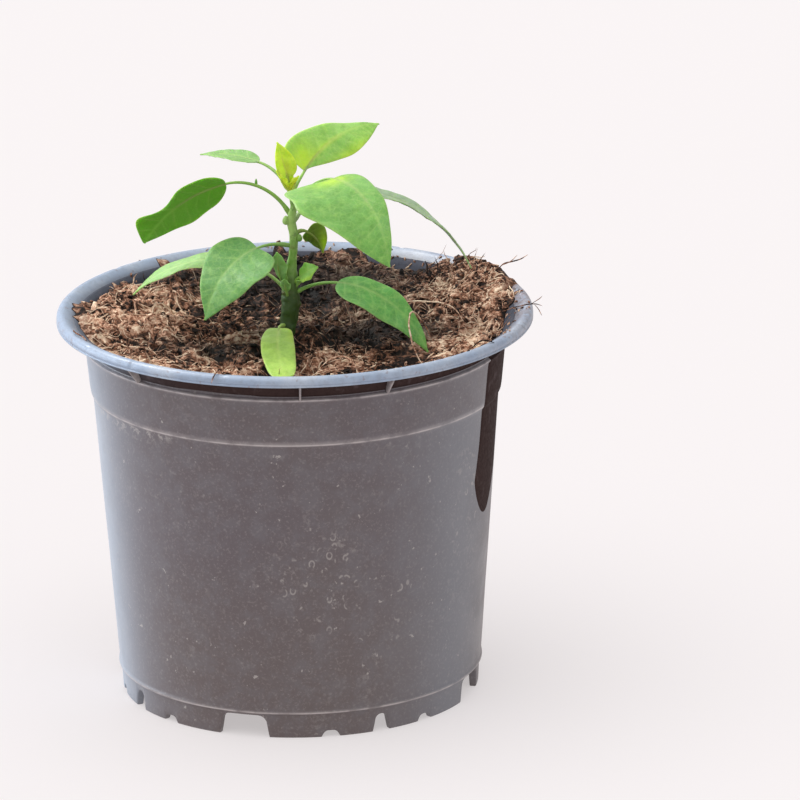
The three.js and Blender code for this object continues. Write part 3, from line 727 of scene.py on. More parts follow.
soilShape = {
    "level": 98.3,
    "slope": 0.11,          # the bed rises towards the back
    "reach": 65,
    "swells": [(-2, 0, 5, 1.9), (15, 19, 8, -4.2), (-18, 11, 7, -2.6), (34, 26, 13, 2.4),
               (-53, -4, 16, 6.2), (51, -23, 10, 3.6), (-46, 26, 11, 2.4), (-55, 12, 7, 1.8),
               (32, 48, 11, -3)],      # x, y, radius, rise
    "heap": {"angle": 24, "spread": 19, "radius": 59, "width": 7, "rise": 7.4},
    "ripples": [(0.31, 0.14, 0.45, 0.4), (-0.17, 0.37, 0.4, 1.9), (0.52, -0.41, 0.3, 4.1)],
    "clods": [(8, 0.9), (3.9, 1), (2, 0.8), (1.1, 0.5)],     # size and rise of each layer of lumps
    "calm": [(-2, 0, 5), (-4.5, -10, 8), (-4, -22, 9), (31, -14, 8), (38, -16, 6)],     # x, y, radius
    # Painted shade where the leaves' shadows fall and in hollows, partly damp, as oval spots: x, y, how
    # wide and deep, and how strong.
    "shadeSpots": [(17, 4, 11, 8, 1), (31, 2, 9, 5, 0.9), (-22, -9, 12, 4.5, 0.95), (-9, 4, 7, 4, 0.7),
                (-24, -32, 9, 4, 0.5), (10, 36, 24, 15, 1), (40, -28, 6, 3, 0.6), (-14, 44, 22, 7, 0.6)],
    "paleSpots": [(-46, 4, 14, 20, 1), (47, 6, 14, 20, 0.8)],     # paler in these spots
    "paleTone": 0.36,        # how much paler
    "edgeShade": 0.45,      # how dark the soil is along the wall
    "seedReach": 57,        # the farthest start of a bit, and the farthest point of one
    "bitReach": 61,
    "columns": 420,
    "rows": 125,
}
soilLook = {
    "dark": "1b120e",
    "brown": "5f4335",
    "red": "8f6149",
    "pale": "c49d84",
    "tan": "e6cdb2",
}
# curl is how far a bit turns, lift how high it rises, and tone how light it is. heap is the share of them
# on the heap, and free the share with one end standing up. steps and sides count a bit's points along it
# and round it.
fibreKinds = [
    {"name": "soil_chips", "count": 3000, "length": (1, 4), "radius": (0.12, 0.38), "curl": 0.2,
     "lift": 0.35, "tone": (-0.1, 0.95), "steps": 4, "sides": 4, "heap": 0.1, "free": 0.02, "seed": 14},
    {"name": "soil_twigs", "count": 2300, "length": (2.2, 7), "radius": (0.08, 0.22), "curl": 0.4,
     "lift": 0.6, "tone": (0.15, 1.1), "steps": 6, "sides": 4, "heap": 0.1, "free": 0.03, "seed": 11},
    {"name": "soil_curls", "count": 650, "length": (3.5, 9), "radius": (0.05, 0.11), "curl": 1.6,
     "lift": 0.9, "tone": (0.5, 1.15), "steps": 9, "sides": 4, "heap": 0.15, "free": 0.08, "seed": 12},
    {"name": "soil_roots", "count": 46, "length": (8, 17), "radius": (0.12, 0.24), "curl": 1.4,
     "lift": 1.6, "tone": (0.5, 1.1), "steps": 12, "sides": 5, "heap": 0.4, "free": 0.1, "seed": 13},
    {"name": "soil_spilt", "count": 150, "length": (0.4, 2.4), "radius": (0.1, 0.3), "curl": 0.6,
     "lift": 0.1, "tone": (0.1, 0.9), "steps": 4, "sides": 5, "heap": 0, "free": 0, "seed": 15,
     "onLip": {"radius": (57.5, 63), "angle": (0, 70), "reach": 64}},
]
# Single fibres, each through a few places, with its radius and tone.
strayFibres = [
    {"through": [(52, 20, 107), (57, 25, 110.5), (60, 27, 111), (62.5, 28, 111.5), (64.5, 29, 112.5)],
     "radius": 0.17, "tone": 0.5},
    {"through": [(57, 25, 110.5), (59.5, 24, 112), (61.5, 23.5, 114)], "radius": 0.12, "tone": 0.5},
    {"through": [(56, -4, 106), (61, -5, 107.9), (65, -5.5, 108.6), (67.4, -6, 108.1)],
     "radius": 0.15, "tone": 0.55},
    {"through": [(64, -5.3, 108.4), (66, -5, 109.6), (67.3, -4.6, 110.6)], "radius": 0.11, "tone": 0.55},
    {"through": [(65, -5.5, 108.5), (66.3, -6.3, 107.4), (67.2, -7, 105.6)], "radius": 0.11, "tone": 0.55},
    {"through": [(35, -28, 97.5), (32.6, -25, 101), (31, -21.5, 106), (31, -18, 109.6), (32.5, -13, 109),
                 (35.5, -7, 103), (37, -4, 99)], "radius": 0.24, "tone": 0.75},
    {"through": [(-19, -50, 102.5), (-20.2, -56, 107.2), (-21, -59.6, 107.6), (-22, -61.6, 106.9),
                 (-22.6, -62, 105)], "radius": 0.2, "tone": 0.5},
    {"through": [(-55, -27, 104.5), (-57, -26.5, 107.6), (-59.5, -22.5, 107.9), (-60, -19, 107.6)],
     "radius": 0.2, "tone": 0.6},
    {"through": [(46, -32, 103.5), (49.5, -35.5, 107.4), (51.5, -36, 107.8), (53.5, -35.5, 106.9)],
     "radius": 0.22, "tone": 0.2},
    {"through": [(5, -33, 98), (9, -31, 101.5), (13, -33, 103), (16, -37, 101.5), (17, -42, 97)],
     "radius": 0.2, "tone": 0.95},
    {"through": [(3, -36, 98), (8, -38, 101), (15, -38.5, 101.8), (22, -36, 98)],
     "radius": 0.18, "tone": 0.9},
    {"through": [(24, 8, 97), (28, 10, 104), (35, 9, 105.5), (43, 5, 105), (47, 1, 100)],
     "radius": 0.2, "tone": 1},
]
crumbKind = {"count": 2600, "size": (0.3, 1.2), "tone": (-0.1, 0.85), "rows": 5, "sides": 7, "seed": 21}


def soilHeight(x, y, soil):
    # The level, the slope and the sum of round swells, waves and the heap at the edge.
    height = soil["level"] + soil["slope"] * y
    for sx, sy, radius, rise in soil["swells"]:
        height = height + rise * np.exp(-((x - sx) ** 2 + (y - sy) ** 2) / (2 * radius ** 2))
    for along, across, rise, shift in soil["ripples"]:
        height = height + rise * np.sin(along * x + across * y + shift)
    heap = soil["heap"]
    turn = (np.degrees(np.arctan2(y, x)) - heap["angle"]) / heap["spread"]
    outward = (np.hypot(x, y) - heap["radius"]) / heap["width"]
    return height + heap["rise"] * np.exp(-turn ** 2 / 2 - outward ** 2 / 2)


def soilTop(x, y, soil):
    # The soil's height with its clods, which are lower and sunk a little where a leaf or the stem is close.
    flat = np.stack([x, y, np.zeros_like(x)], -1)
    clods = sum(rise * lumps(flat, size, 30 + k) for k, (size, rise) in enumerate(soil["clods"]))
    nearness = np.zeros_like(x)
    for sx, sy, radius in soil["calm"]:
        nearness = np.maximum(nearness, np.exp(-((x - sx) ** 2 + (y - sy) ** 2) / (0.8 * radius ** 2)))
    return soilHeight(x, y, soil) + clods * (1 - 0.75 * nearness) - 0.35 * nearness


def spotsAt(x, y, spots):
    # The sum of oval spots, each fading from its centre, and 1 at the most.
    shares = [much * np.exp(-((x - sx) / wide) ** 2 / 2 - ((y - sy) / deep) ** 2 / 2)
              for sx, sy, wide, deep, much in spots]
    return np.clip(sum(shares), 0, 1)


# The outline's last 18 points run from the lip's edge over its crown to the floor, and here they are
# turned round.
innerWall = potOutline(potShape)[-18:, :2][::-1]


def wallHeight(radius):
    # The height of the pot's inner face, and of its lip's crown further out, at a distance from the axis.
    return np.interp(radius, innerWall[:, 0], innerWall[:, 1])


def bedEdge(soil):
    # For even angles, the distance at which the soil first falls below the wall, or its full reach.
    degrees = np.linspace(-180, 180, soil["columns"], endpoint=False)
    angle = np.radians(degrees)
    radius = np.linspace(40, soil["reach"], 101)[:, None]
    top = soilTop(radius * np.cos(angle), radius * np.sin(angle), soil)
    below = top < wallHeight(radius)
    first = np.where(below.any(0), below.argmax(0), len(radius) - 1)
    return degrees, radius[first, 0]


def makeBed(soil):
    # Rings from the centre to the edge at the soil's height, then back in along the wall and the floor.
    degrees, edge = bedEdge(soil)
    angle = np.radians(degrees)[None, :]
    radius = np.linspace(0, 1, soil["rows"])[:, None] * edge
    x, y = radius * np.cos(angle), radius * np.sin(angle)
    wall = wallHeight(radius)
    thinning = 1 - ramp(radius, soil["reach"] - 1.6, soil["reach"])
    top = wall + np.maximum(soilTop(x, y, soil) - wall, 0) * thinning + 0.04
    upper = np.stack([x, y, top], -1)
    under = np.minimum(innerWall[::-1, :1], edge)
    lower = ringPoints(under, angle, wallHeight(under) + 0.04)
    lower[-1, :, :2] = 0
    # Painted shade in spots and along the wall.
    shaded = np.maximum(spotsAt(x, y, soil["shadeSpots"]), soil["edgeShade"] * ramp(radius / edge, 0.9, 0.97))
    flat = np.stack([x, y, 0 * x], -1)
    sunk = sum(lumps(flat, size, 31 + k) for k, (size, _) in enumerate(soil["clods"][1:]))
    tone = 0.22 + 0.24 * sunk + soil["paleTone"] * spotsAt(x, y, soil["paleSpots"])
    return gridShell(np.concatenate([upper, lower]), hollow=np.concatenate([shaded, np.ones(under.shape)]),
                     tone=np.concatenate([tone, np.zeros(under.shape)]))


def scatterSpots(draw, count, onHeap, soil):
    # Even over the bed, except for a share that gathers round the heap.
    radius = soil["seedReach"] * np.sqrt(draw.random(count))
    angle = 2 * np.pi * draw.random(count)
    heaped = draw.random(count) < onHeap
    heap = soil["heap"]
    radius = np.where(heaped, np.minimum(draw.normal(heap["radius"] - 7, 5, count), 59.5), radius)
    angle = np.where(heaped, np.radians(draw.normal(heap["angle"] + 5, 11, count)), angle)
    return radius, angle, heaped


def nearCalm(x, y, soil):
    # Whether a spot lies inside any calm circle, at three quarters of its radius.
    return np.any([np.hypot(x - sx, y - sy) < 0.75 * radius for sx, sy, radius in soil["calm"]], 0)


def makeFibres(kind, soil):
    # Each fibre starts at a random spot and turns steadily as it goes. Its ends are sunk in the soil and
    # its middle is lifted; a few have one free end that stands up.
    draw = np.random.default_rng(kind["seed"])
    radius, angle, heaped = scatterSpots(draw, kind["count"], kind["heap"], soil)
    reach = soil["bitReach"]
    if "onLip" in kind:
        radius = draw.uniform(*kind["onLip"]["radius"], kind["count"])
        angle = np.radians(draw.normal(*kind["onLip"]["angle"], kind["count"]))
        heaped = radius > 0
        reach = kind["onLip"]["reach"]
    start = np.stack([radius * np.cos(angle), radius * np.sin(angle)], -1)
    keep = ~nearCalm(start[:, 0], start[:, 1], soil)
    start, heaped = start[keep], heaped[keep]
    count = len(start)
    length = draw.uniform(*kind["length"], (count, 1))
    share = np.linspace(0, 1, kind["steps"])[None]
    heading = draw.uniform(0, 2 * np.pi, (count, 1)) + draw.normal(0, kind["curl"], (count, 1)) * share
    swing = draw.uniform(0.5, 1.6, (count, 1)) * share + draw.random((count, 1))
    heading = heading + 0.5 * np.sin(2 * np.pi * swing)
    step = length / (kind["steps"] - 1)
    x = start[:, :1] + np.cumsum(step * np.cos(heading), 1)
    y = start[:, 1:] + np.cumsum(step * np.sin(heading), 1)
    degrees, edge = bedEdge(soil)
    most = np.interp(np.degrees(np.arctan2(y, x)), degrees, edge, period=360) - 0.5
    most = np.where(heaped[:, None], reach, np.minimum(most, reach))
    squeeze = np.minimum(1, most / np.hypot(x, y))
    x, y = x * squeeze, y * squeeze
    ground = np.maximum(soilTop(x, y, soil), wallHeight(np.hypot(x, y)) + 0.1)
    thick = draw.uniform(*kind["radius"], (count, 1))
    lift = draw.uniform(0, kind["lift"], (count, 1))
    arch = np.sin(np.pi * share)
    free = draw.random((count, 1)) < kind["free"]
    rise = np.where(free, draw.uniform(1.5, 5, (count, 1)) * share ** 1.3, lift * arch)
    sunk = np.where(free, (1 - share) ** 2, (1 - arch) ** 3)
    smooth = (ground + np.roll(ground, 1, 1) + np.roll(ground, -1, 1)) / 3
    smooth[:, 0], smooth[:, -1] = ground[:, 0], ground[:, -1]
    z = np.maximum(smooth, ground - 0.2) + 0.5 * thick + rise - (thick + 0.5) * sunk
    centres = np.stack([x, y, z], -1)
    taper = 1 - 0.75 * np.abs(2 * share - 1) ** 3
    taper[:, 0] = taper[:, -1] = 0
    radii = np.broadcast_to((thick * taper)[..., None], (*centres.shape[:2], kind["sides"]))
    tone = draw.uniform(*kind["tone"], (count, 1)) + soil["paleTone"] * spotsAt(x, y, soil["paleSpots"])
    # Each bit takes the painted shade of the soil under it.
    hollow = spotsAt(x, y, soil["shadeSpots"])
    return sweep(centres, radii, (0, 0, 1), tone=np.repeat(tone.ravel(), kind["sides"]),
                 hollow=np.repeat(hollow.ravel(), kind["sides"]))


def makeStray(stray):
    # A thin tube along a smooth line through the fibre's places, tapered to both ends.
    line = throughPoints(stray["through"], 6)
    share = np.linspace(0, 1, len(line))
    line = line + 0.12 * np.stack([lumps(line + away, 1.7, 61) for away in (0, 50, 90)], -1)
    radius = stray["radius"] * (1 - 0.8 * np.abs(2 * share - 1) ** 3) * (1 + 0.2 * lumps(line, 1.3, 62))
    radius[0] = radius[-1] = 0
    return sweep(line[None], np.repeat(radius[:, None], 6, 1)[None], (0, 0.3, 1), tone=stray["tone"])


def makeCrumbs(kind, soil):
    # Lumpy flattened balls, each stretched and turned its own way and partly sunk in the soil.
    draw = np.random.default_rng(kind["seed"])
    radius, angle, heaped = scatterSpots(draw, kind["count"], 0.15, soil)
    radius = np.where(heaped, np.minimum(radius, 63), radius)
    x, y = radius * np.cos(angle), radius * np.sin(angle)
    degrees, edge = bedEdge(soil)
    inside = radius < np.interp(np.degrees(np.arctan2(y, x)), degrees, edge, period=360) - 1.2
    keep = inside & ~nearCalm(x, y, soil)
    x, y = x[keep], y[keep]
    count = len(x)
    polar = np.linspace(0, np.pi, kind["rows"])[:, None]
    turn = 2 * np.pi * np.arange(kind["sides"]) / kind["sides"]
    ball = ringPoints(np.sin(polar), turn, np.cos(polar))
    ball[0], ball[-1] = (0, 0, 1), (0, 0, -1)
    low, high = kind["size"]
    size = low + (high - low) * draw.random(count) ** 3
    stretch = np.stack([draw.uniform(*limits, count) for limits in ((1, 2), (0.7, 1.1), (0.4, 0.8))], -1)
    away = draw.uniform(0, 400, (count, 1, 1, 3))
    shape = ball * (1 + 0.6 * lumps(ball * 1.1 + away, 1, 5))[..., None]
    shape = shape * (size[:, None] * stretch)[:, None, None]
    turned, tilted = draw.uniform(0, 2 * np.pi, count), draw.normal(0, 0.5, count)
    px, py, pz = np.moveaxis(shape, -1, 0)
    cosine, sine = np.cos(tilted)[:, None, None], np.sin(tilted)[:, None, None]
    px, pz = px * cosine + pz * sine, pz * cosine - px * sine
    cosine, sine = np.cos(turned)[:, None, None], np.sin(turned)[:, None, None]
    px, py = px * cosine - py * sine, px * sine + py * cosine
    ground = soilTop(x, y, soil) + 0.12 * size
    points = np.stack([px + x[:, None, None], py + y[:, None, None], pz + ground[:, None, None]], -1)
    each = kind["rows"] * kind["sides"]
    tone = draw.uniform(*kind["tone"], count) + soil["paleTone"] * spotsAt(x, y, soil["paleSpots"])
    values = {"tone": np.repeat(tone, each), "hollow": np.repeat(spotsAt(x, y, soil["shadeSpots"]), each)}
    faces = gridFaces(kind["rows"], kind["sides"], count)
    return {"points": points.reshape(-1, 3), "faces": faces, "values": values}


def coirSoil(look):
    # Chopped coconut fibre: from near black to tan by each bit's tone, mottled, and darkened by painted
    # shade where the leaves' shadows fall, in hollows and along the wall, partly damp.
    r = Recipe("coirSoil")
    tone = r.math("ADD", r.attribute("tone"), r.patches((520, 4, 0.7), 0.34, 0.66, -0.4, 0.38))
    tone = r.math("ADD", tone, r.patches((75, 3), 0.36, 0.64, -0.28, 0.32))
    colour = r.blend(r.range(tone, 0.0, 0.34), paint(look["dark"]), paint(look["brown"]))
    colour = r.coat(colour, r.range(tone, 0.28, 0.56), look["red"])
    colour = r.coat(colour, r.range(tone, 0.5, 0.82), look["pale"])
    colour = r.coat(colour, r.range(tone, 0.82, 1.15), look["tan"])
    # Painted shade: the leaves' shadows, the hollows and the wall's edge, partly damp.
    damp = r.times(r.attribute("hollow"), 0.9)
    colour = r.blend(damp, colour, paint(look["dark"]), "MULTIPLY")
    rough = r.range(r.attribute("hollow"), 0, 1, 0.9, 0.7)
    normal = r.bump(r.noise(1500, 4, 0.7), 0.8, 0.0003)
    return r.finish(colour, rough, normal, Specular_IOR_Level=0.25)


coir = coirSoil(soilLook)
addPiece("soil_bed", [makeBed(soilShape)], coir, "soil")
for kind in fibreKinds:
    addPiece(kind["name"], [makeFibres(kind, soilShape)], coir, None, smooth=kind["sides"] > 4)
addPiece("soil_strays", [makeStray(stray) for stray in strayFibres], coir, None)
addPiece("soil_crumbs", [makeCrumbs(crumbKind, soilShape)], coir, None, smooth=False)
print("soil made")


# The stem.

stemShape = {
    # x, y, height and radius.
    "path": [(-0.5, 0.5, 62, 0.7), (-1, 0.5, 80, 1.5), (-2, 0, 95, 2.5), (-2, 0, 100.5, 2.5),
             (-1.5, 0, 105.5, 2.5), (-1, 0, 110, 2.5), (-1, 0, 115, 2), (-0.5, 0, 120.5, 1.5),
             (0, 0, 127, 1.6), (-0.5, 0, 132, 1.5), (0, 0, 136.5, 1), (-1.5, 0, 142, 0.7)],
    "sides": 40,
    "ribs": 5,
    "ribDepth": 0.035,      # share of the radius
    "slimness": (0.95, 0.78),       # at the foot and above
    # Height and radians round.
    "scars": [(103.6, 2.1), (108.2, 0.5), (111.8, 3.9), (119.5, 1.2), (124.6, 4.4), (134, 2.7)],
    "scarDepth": 0.28,      # share of the radius
    # x, y, height and the three half sizes.
    "buds": [(-2, -0.5, 132, 0.9, 0.7, 1.3), (-2, -1, 116, 0.9, 0.8, 1.1), (1.5, -0.5, 127, 0.8, 0.8, 1.1)],
}
stemLook = {
    "green": "6f9c3c",
    "light": "a3c56e",
    "foot": "26400f",
    "cork": "7b7440",
}


def makeStem(stem):
    # The path's smooth line with a ring of radius(height) * (1 + ribs + scars) round each step.
    line = throughPoints(stem["path"], 16)
    centres, radius = line[:, :3], line[:, 3]
    turn = 2 * np.pi * np.arange(stem["sides"]) / stem["sides"]
    height = centres[:, 2:3]
    wavy = 1 + stem["ribDepth"] * np.cos(stem["ribs"] * turn + 0.05 * height)
    ring = centres[:, None] + radius[:, None, None] * ringPoints(1, turn, 0)
    wavy = wavy + 0.13 * lumps(ring, 2.6, 41) + 0.07 * lumps(ring, 1, 42)
    scar = np.zeros_like(wavy)
    for at, angle in stem["scars"]:
        away = ((height - at) / 0.55) ** 2 + ((turn - angle + np.pi) % (2 * np.pi) - np.pi) ** 2 / 0.5
        scar = scar + np.exp(-away)
    slim = stem["slimness"][0] + (stem["slimness"][1] - stem["slimness"][0]) * ramp(height, 114, 124)
    radii = (slim * radius[:, None] * (wavy + stem["scarDepth"] * scar))[None]
    radii[:, 0], radii[:, -1] = 0, 0
    age = ramp(-height, -127, -106) + 0 * turn
    return sweep(centres[None], radii, (1, 0, 0), age=age.ravel(), scar=np.clip(scar, 0, 1).ravel())


def makeBud(bud):
    # A small egg with its narrow end up: radius = sin(a) * (1 - 0.25 cos(a)) at the height cos(a).
    place, size = np.array(bud[:3]), np.array(bud[3:])
    polar = np.linspace(0, np.pi, 14)[:, None]
    turn = 2 * np.pi * np.arange(16) / 16
    wide = np.sin(polar) * (1 - 0.25 * np.cos(polar)) * (1 + 0.08 * np.cos(4 * turn))
    wide[0], wide[-1] = 0, 0
    return gridShell(ringPoints(wide, turn, np.cos(polar)) * size + place, age=0.1)


def greenStem(look):
    # Pale green above and dark towards the soil, mottled, with short faint streaks and corky scars.
    r = Recipe("greenStem")
    streak = r.noise(330, 4, 0.65, r.stretched((2, 2, 0.6)))
    mottle = r.noise(170, 4, 0.6)
    colour = r.blend(r.range(mottle, 0.36, 0.64), paint(look["green"]), paint(look["light"]))
    colour = r.coat(colour, r.range(streak, 0.5, 0.7, 0, 0.35), look["light"])
    colour = r.coat(colour, r.patches((420, 4, 0.7), 0.55, 0.7, 0, 0.45), look["foot"])
    age = r.math("ADD", r.attribute("age"), r.range(mottle, 0.3, 0.7, -0.18, 0.18))
    colour = r.coat(colour, r.range(age, 0.1, 0.95, 0, 0.92), look["foot"])
    cork = r.math("MAXIMUM", r.attribute("scar"), r.times(r.patches((700, 2), 0.66, 0.74), 0.5))
    colour = r.coat(colour, r.times(cork, 0.5), look["cork"])
    normal = r.bump(streak, 0.3, 0.0003, r.bump(r.noise(1400, 3), 0.3, 0.0001))
    return r.finish(colour, r.range(streak, 0.3, 0.7, 0.42, 0.62), normal, Subsurface_Weight=0.15,
                    Subsurface_Radius=(0.0006, 0.0012, 0.0003), Subsurface_Scale=1.0)


addPiece("stem_main", [makeStem(stemShape)] + [makeBud(bud) for bud in stemShape["buds"]],
         greenStem(stemLook), "stem")
print("stem made")


# The leaves.

# Heading and pitch are in degrees at the stem, at the blade's base and at its tip: 0 heads right, 90 back.
# roll leans the upper face to the leaf's right hand and fold lifts both halves. A half is its width, where
# it is widest, how it tapers, and what it has of its own. glow is a list of painted patches of light
# shining
# through the leaf: how far along and out they lie, how long and wide they are, and how strong. wave and
# veins are shares of the usual strength, and bract is the share of the leaf's length at which one stands on
# the stalk.
leafShapes = {
    "leaf_upper_left": {
        "height": 140.5, "heading": (140, 150, 155), "pitch": (56, 10, -10), "roll": (0, 0), "fold": 5,
        "stalk": 12, "length": 18, "left": (5, 0.35, 1.3, {}), "right": (5, 0.4, 1.2, {}),
        "colour": "739f52", "wave": 0.3,
    },
    "leaf_left": {
        "height": 132.5, "heading": (160, 172, 180), "pitch": (65, -14, -60), "roll": (50, 75), "fold": -5,
        "stalk": 22, "length": 29,
        "left": (5.6, 0.35, 0.7, {"dip": 0.5, "dipAt": 0.58, "corner": 0.58, "cornerAt": 0.85}),
        "right": (7.4, 0.4, 1, {}), "colour": "55891d", "under": "5a8f18", "bract": 0.27,
    },
    "leaf_top": {
        "height": 139, "heading": (40, 55, 40), "pitch": (50, 35, -10), "roll": (60, 20), "fold": -5,
        "stalk": 8, "length": 32, "left": (8.5, 0.1, 1.2, {"shoulder": 0}), "right": (6.5, 0.55, 1.1, {}),
        "colour": "8aba4c",
        "glow": [(0.05, -0.3, 0.22, 0.5, 0.8), (0.5, 1, 0.25, 0.35, 0.7), (0.3, 0, 0.3, 0.12, 0.5)],
    },
    "leaf_front_right": {
        "height": 131, "heading": (10, -52, -65), "pitch": (85, 8, -76), "roll": (0, 0), "fold": 5,
        "stalk": 21, "length": 36, "left": (6, 0.2, 1, {}),
        "right": (18.5, 0.3, 0.9, {"fold": -6, "shoulder": 0.4, "corner": 0.12, "cornerAt": 0.45}),
        "colour": "6da348", "glow": [(0.05, 0, 0.1, 0.5, 0.8)],
    },
    "leaf_right_long": {
        "height": 130.5, "heading": (50, 20, 15), "pitch": (48, -3, -66), "roll": (0, 10), "fold": 5,
        "stalk": 18, "length": 48, "left": (6, 0.3, 1.6, {}), "right": (6, 0.3, 1.6, {}),
        "colour": "88a07e", "under": "93a58c",
    },
    "leaf_front_left": {
        "height": 124.5, "heading": (-165, -145, -115), "pitch": (20, -10, -60), "roll": (0, 0), "fold": 5,
        "stalk": 11, "length": 27.5, "left": (11, 0.3, 0.9, {"fold": -10}),
        "right": (8.5, 0.25, 1.3, {"fold": 20}), "colour": "4f8738",
    },
    "leaf_back_left": {
        "height": 110, "heading": (145, 165, 180), "pitch": (50, 14, -46), "roll": (0, -10), "fold": 0,
        "stalk": 15, "length": 35, "left": (5.5, 0.35, 1.2, {}), "right": (6, 0.4, 1.2, {}),
        "colour": "84ad62",
    },
    "leaf_low_right": {
        "height": 110.5, "heading": (-15, -20, -25), "pitch": (38, 0, -67), "roll": (15, 20), "fold": 10,
        "stalk": 14.5, "length": 33, "left": (4.5, 0.35, 1.1, {}), "right": (8, 0.35, 1, {"fold": 0}),
        "colour": "579a3f",
    },
    "leaf_small_right": {
        "height": 127.5, "heading": (45, 30, 20), "pitch": (35, -30, -80), "roll": (-60, -60), "fold": 10,
        "stalk": 5, "length": 8.5, "left": (3, 0.3, 1.2, {}), "right": (4, 0.25, 1.2, {}),
        "colour": "616f14", "under": "57630f", "glow": [(0.75, 0.6, 0.35, 0.5, 0.8)],
    },
    "leaf_young": {
        "height": 140.5, "heading": (-80, -170, -210), "pitch": (70, 80, 70), "roll": (-90, -60),
        "fold": 20, "stalk": 4, "length": 10, "left": (2.5, 0.35, 1, {}), "right": (3.5, 0.35, 1, {}),
        "colour": "d0ea24", "under": "d4ee1c",
    },
    "leaf_axil_right": {
        "height": 112.5, "heading": (-60, -20, 0), "pitch": (60, 40, 20), "roll": (35, 45), "fold": 5,
        "stalk": 5, "length": 6, "left": (3, 0.4, 1.1, {}), "right": (3.2, 0.35, 1.2, {}),
        "colour": "79b736", "glow": [(0.4, 0.9, 0.4, 0.3, 0.5)],
    },
    "leaf_axil_left": {
        "height": 110.5, "heading": (-140, -140, -90), "pitch": (45, 70, 75), "roll": (0, 0), "fold": 10,
        "stalk": 6, "length": 9, "left": (2.5, 0.45, 0.9, {}), "right": (2, 0.45, 0.9, {}),
        "colour": "5c9a30",
    },
    "seed_leaf": {
        "height": 102, "heading": (-130, -95, -80), "pitch": (20, -3, -20), "roll": (0, 0), "fold": 0,
        "stalk": 7, "length": 28, "left": (4.6, 0.5, 0.22, {}), "right": (4.6, 0.5, 0.22, {}),
        "colour": "a5cb52", "veins": 0.25, "glow": [(0.1, -1, 0.3, 0.25, 0.4)],
    },
}
# Smaller leaves that share a young leaf's piece, still folded round the growing tip or beside it in a fork.
smallLeaves = {
    "leaf_young": [
        {"height": 139.5, "heading": (-110, -150, -175), "pitch": (60, 55, 65), "roll": (0, 20), "fold": 30,
         "stalk": 1.5, "length": 6.5, "left": (1.6, 0.4, 1, {}), "right": (1.6, 0.4, 1, {})},
        {"height": 139, "heading": (-60, -40, -20), "pitch": (60, 70, 55), "roll": (0, -20), "fold": 30,
         "stalk": 1.5, "length": 5, "left": (1.6, 0.4, 1, {}), "right": (1.6, 0.4, 1, {})},
        {"height": 140.5, "heading": (-90, -100, -120), "pitch": (75, 85, 80), "roll": (0, 0), "fold": 35,
         "stalk": 2, "length": 6, "left": (1.6, 0.4, 0.9, {}), "right": (1.6, 0.4, 0.9, {})},
    ],
    "leaf_axil_left": [
        {"height": 113, "heading": (-170, -150, -120), "pitch": (50, 70, 60), "roll": (0, 0), "fold": 15,
         "stalk": 4.5, "length": 6.5, "left": (1.8, 0.45, 0.9, {}), "right": (1.6, 0.45, 0.9, {})},
        {"height": 109, "heading": (-120, -110, -100), "pitch": (45, 60, 60), "roll": (0, 0), "fold": 15,
         "stalk": 4, "length": 5, "left": (1.5, 0.45, 0.9, {}), "right": (1.5, 0.45, 0.9, {})},
    ],
    "leaf_axil_right": [
        {"height": 111, "heading": (-40, -30, -20), "pitch": (60, 50, 35), "roll": (0, 0), "fold": 15,
         "stalk": 3.5, "length": 4.5, "left": (1.6, 0.45, 0.9, {}), "right": (1.5, 0.45, 0.9, {})},
    ],
}
bladeShape = {
    "thickness": 0.46,
    "rowLength": 0.32,
    "halfColumns": 22,
    "narrowest": 0.3,
    "shoulder": 0.2,
    "wave": 0.35,
    "waves": 2.5,
    "waveShift": 0.4,
    "veinGap": 4.1,         # along the midrib
    "veinLean": 0.9,        # how far a side vein runs on for each millimetre outwards
    "veinDepth": 0.05,
    "quilt": 0.05,
    "crinkle": 0.1,
    "midribDepth": 0.12,
    "stalkRadii": (0.62, 0.36, 0.24),
    "ribReach": 0.6,        # share of the blade's length
    "ribDrop": 0.2,
    "bractLift": 0.9,
    "bractSize": (0.35, 0.35, 1.1),
    "scaleLength": 22,      # a shorter blade has its veins and relief scaled down to its length
    "dipLength": 0.15,      # shares of the length over which a dip and a corner fade
    "cornerLength": 0.1,
}


def stemAxisAt(height):
    # Where the stem's axis stands at a height, straight from one place of its path to the next.
    path = np.array(stemShape["path"])
    return np.array([np.interp(height, path[:, 2], path[:, k]) for k in (0, 1)] + [height])


def leafRoute(leaf, steps=12):
    # Short steps along the stalk and then the blade, each in the direction that is due at its middle.
    share = (np.arange(steps) + 0.5) / steps
    turns, sizes = [], []
    for part, length in enumerate((leaf["stalk"], leaf["length"])):
        marks = [np.radians(leaf[label][part:part + 2]) for label in ("heading", "pitch")]
        turns.append(np.stack([mark[0] + (mark[1] - mark[0]) * share for mark in marks], -1))
        sizes.append(np.full(steps, length / steps))
    heading, pitch = np.concatenate(turns).T
    move = np.stack([np.cos(pitch) * np.cos(heading), np.cos(pitch) * np.sin(heading), np.sin(pitch)], -1)
    points = np.cumsum(move * np.concatenate(sizes)[:, None], 0) + stemAxisAt(leaf["height"])
    return throughPoints(np.concatenate([[stemAxisAt(leaf["height"])], points]), 24)


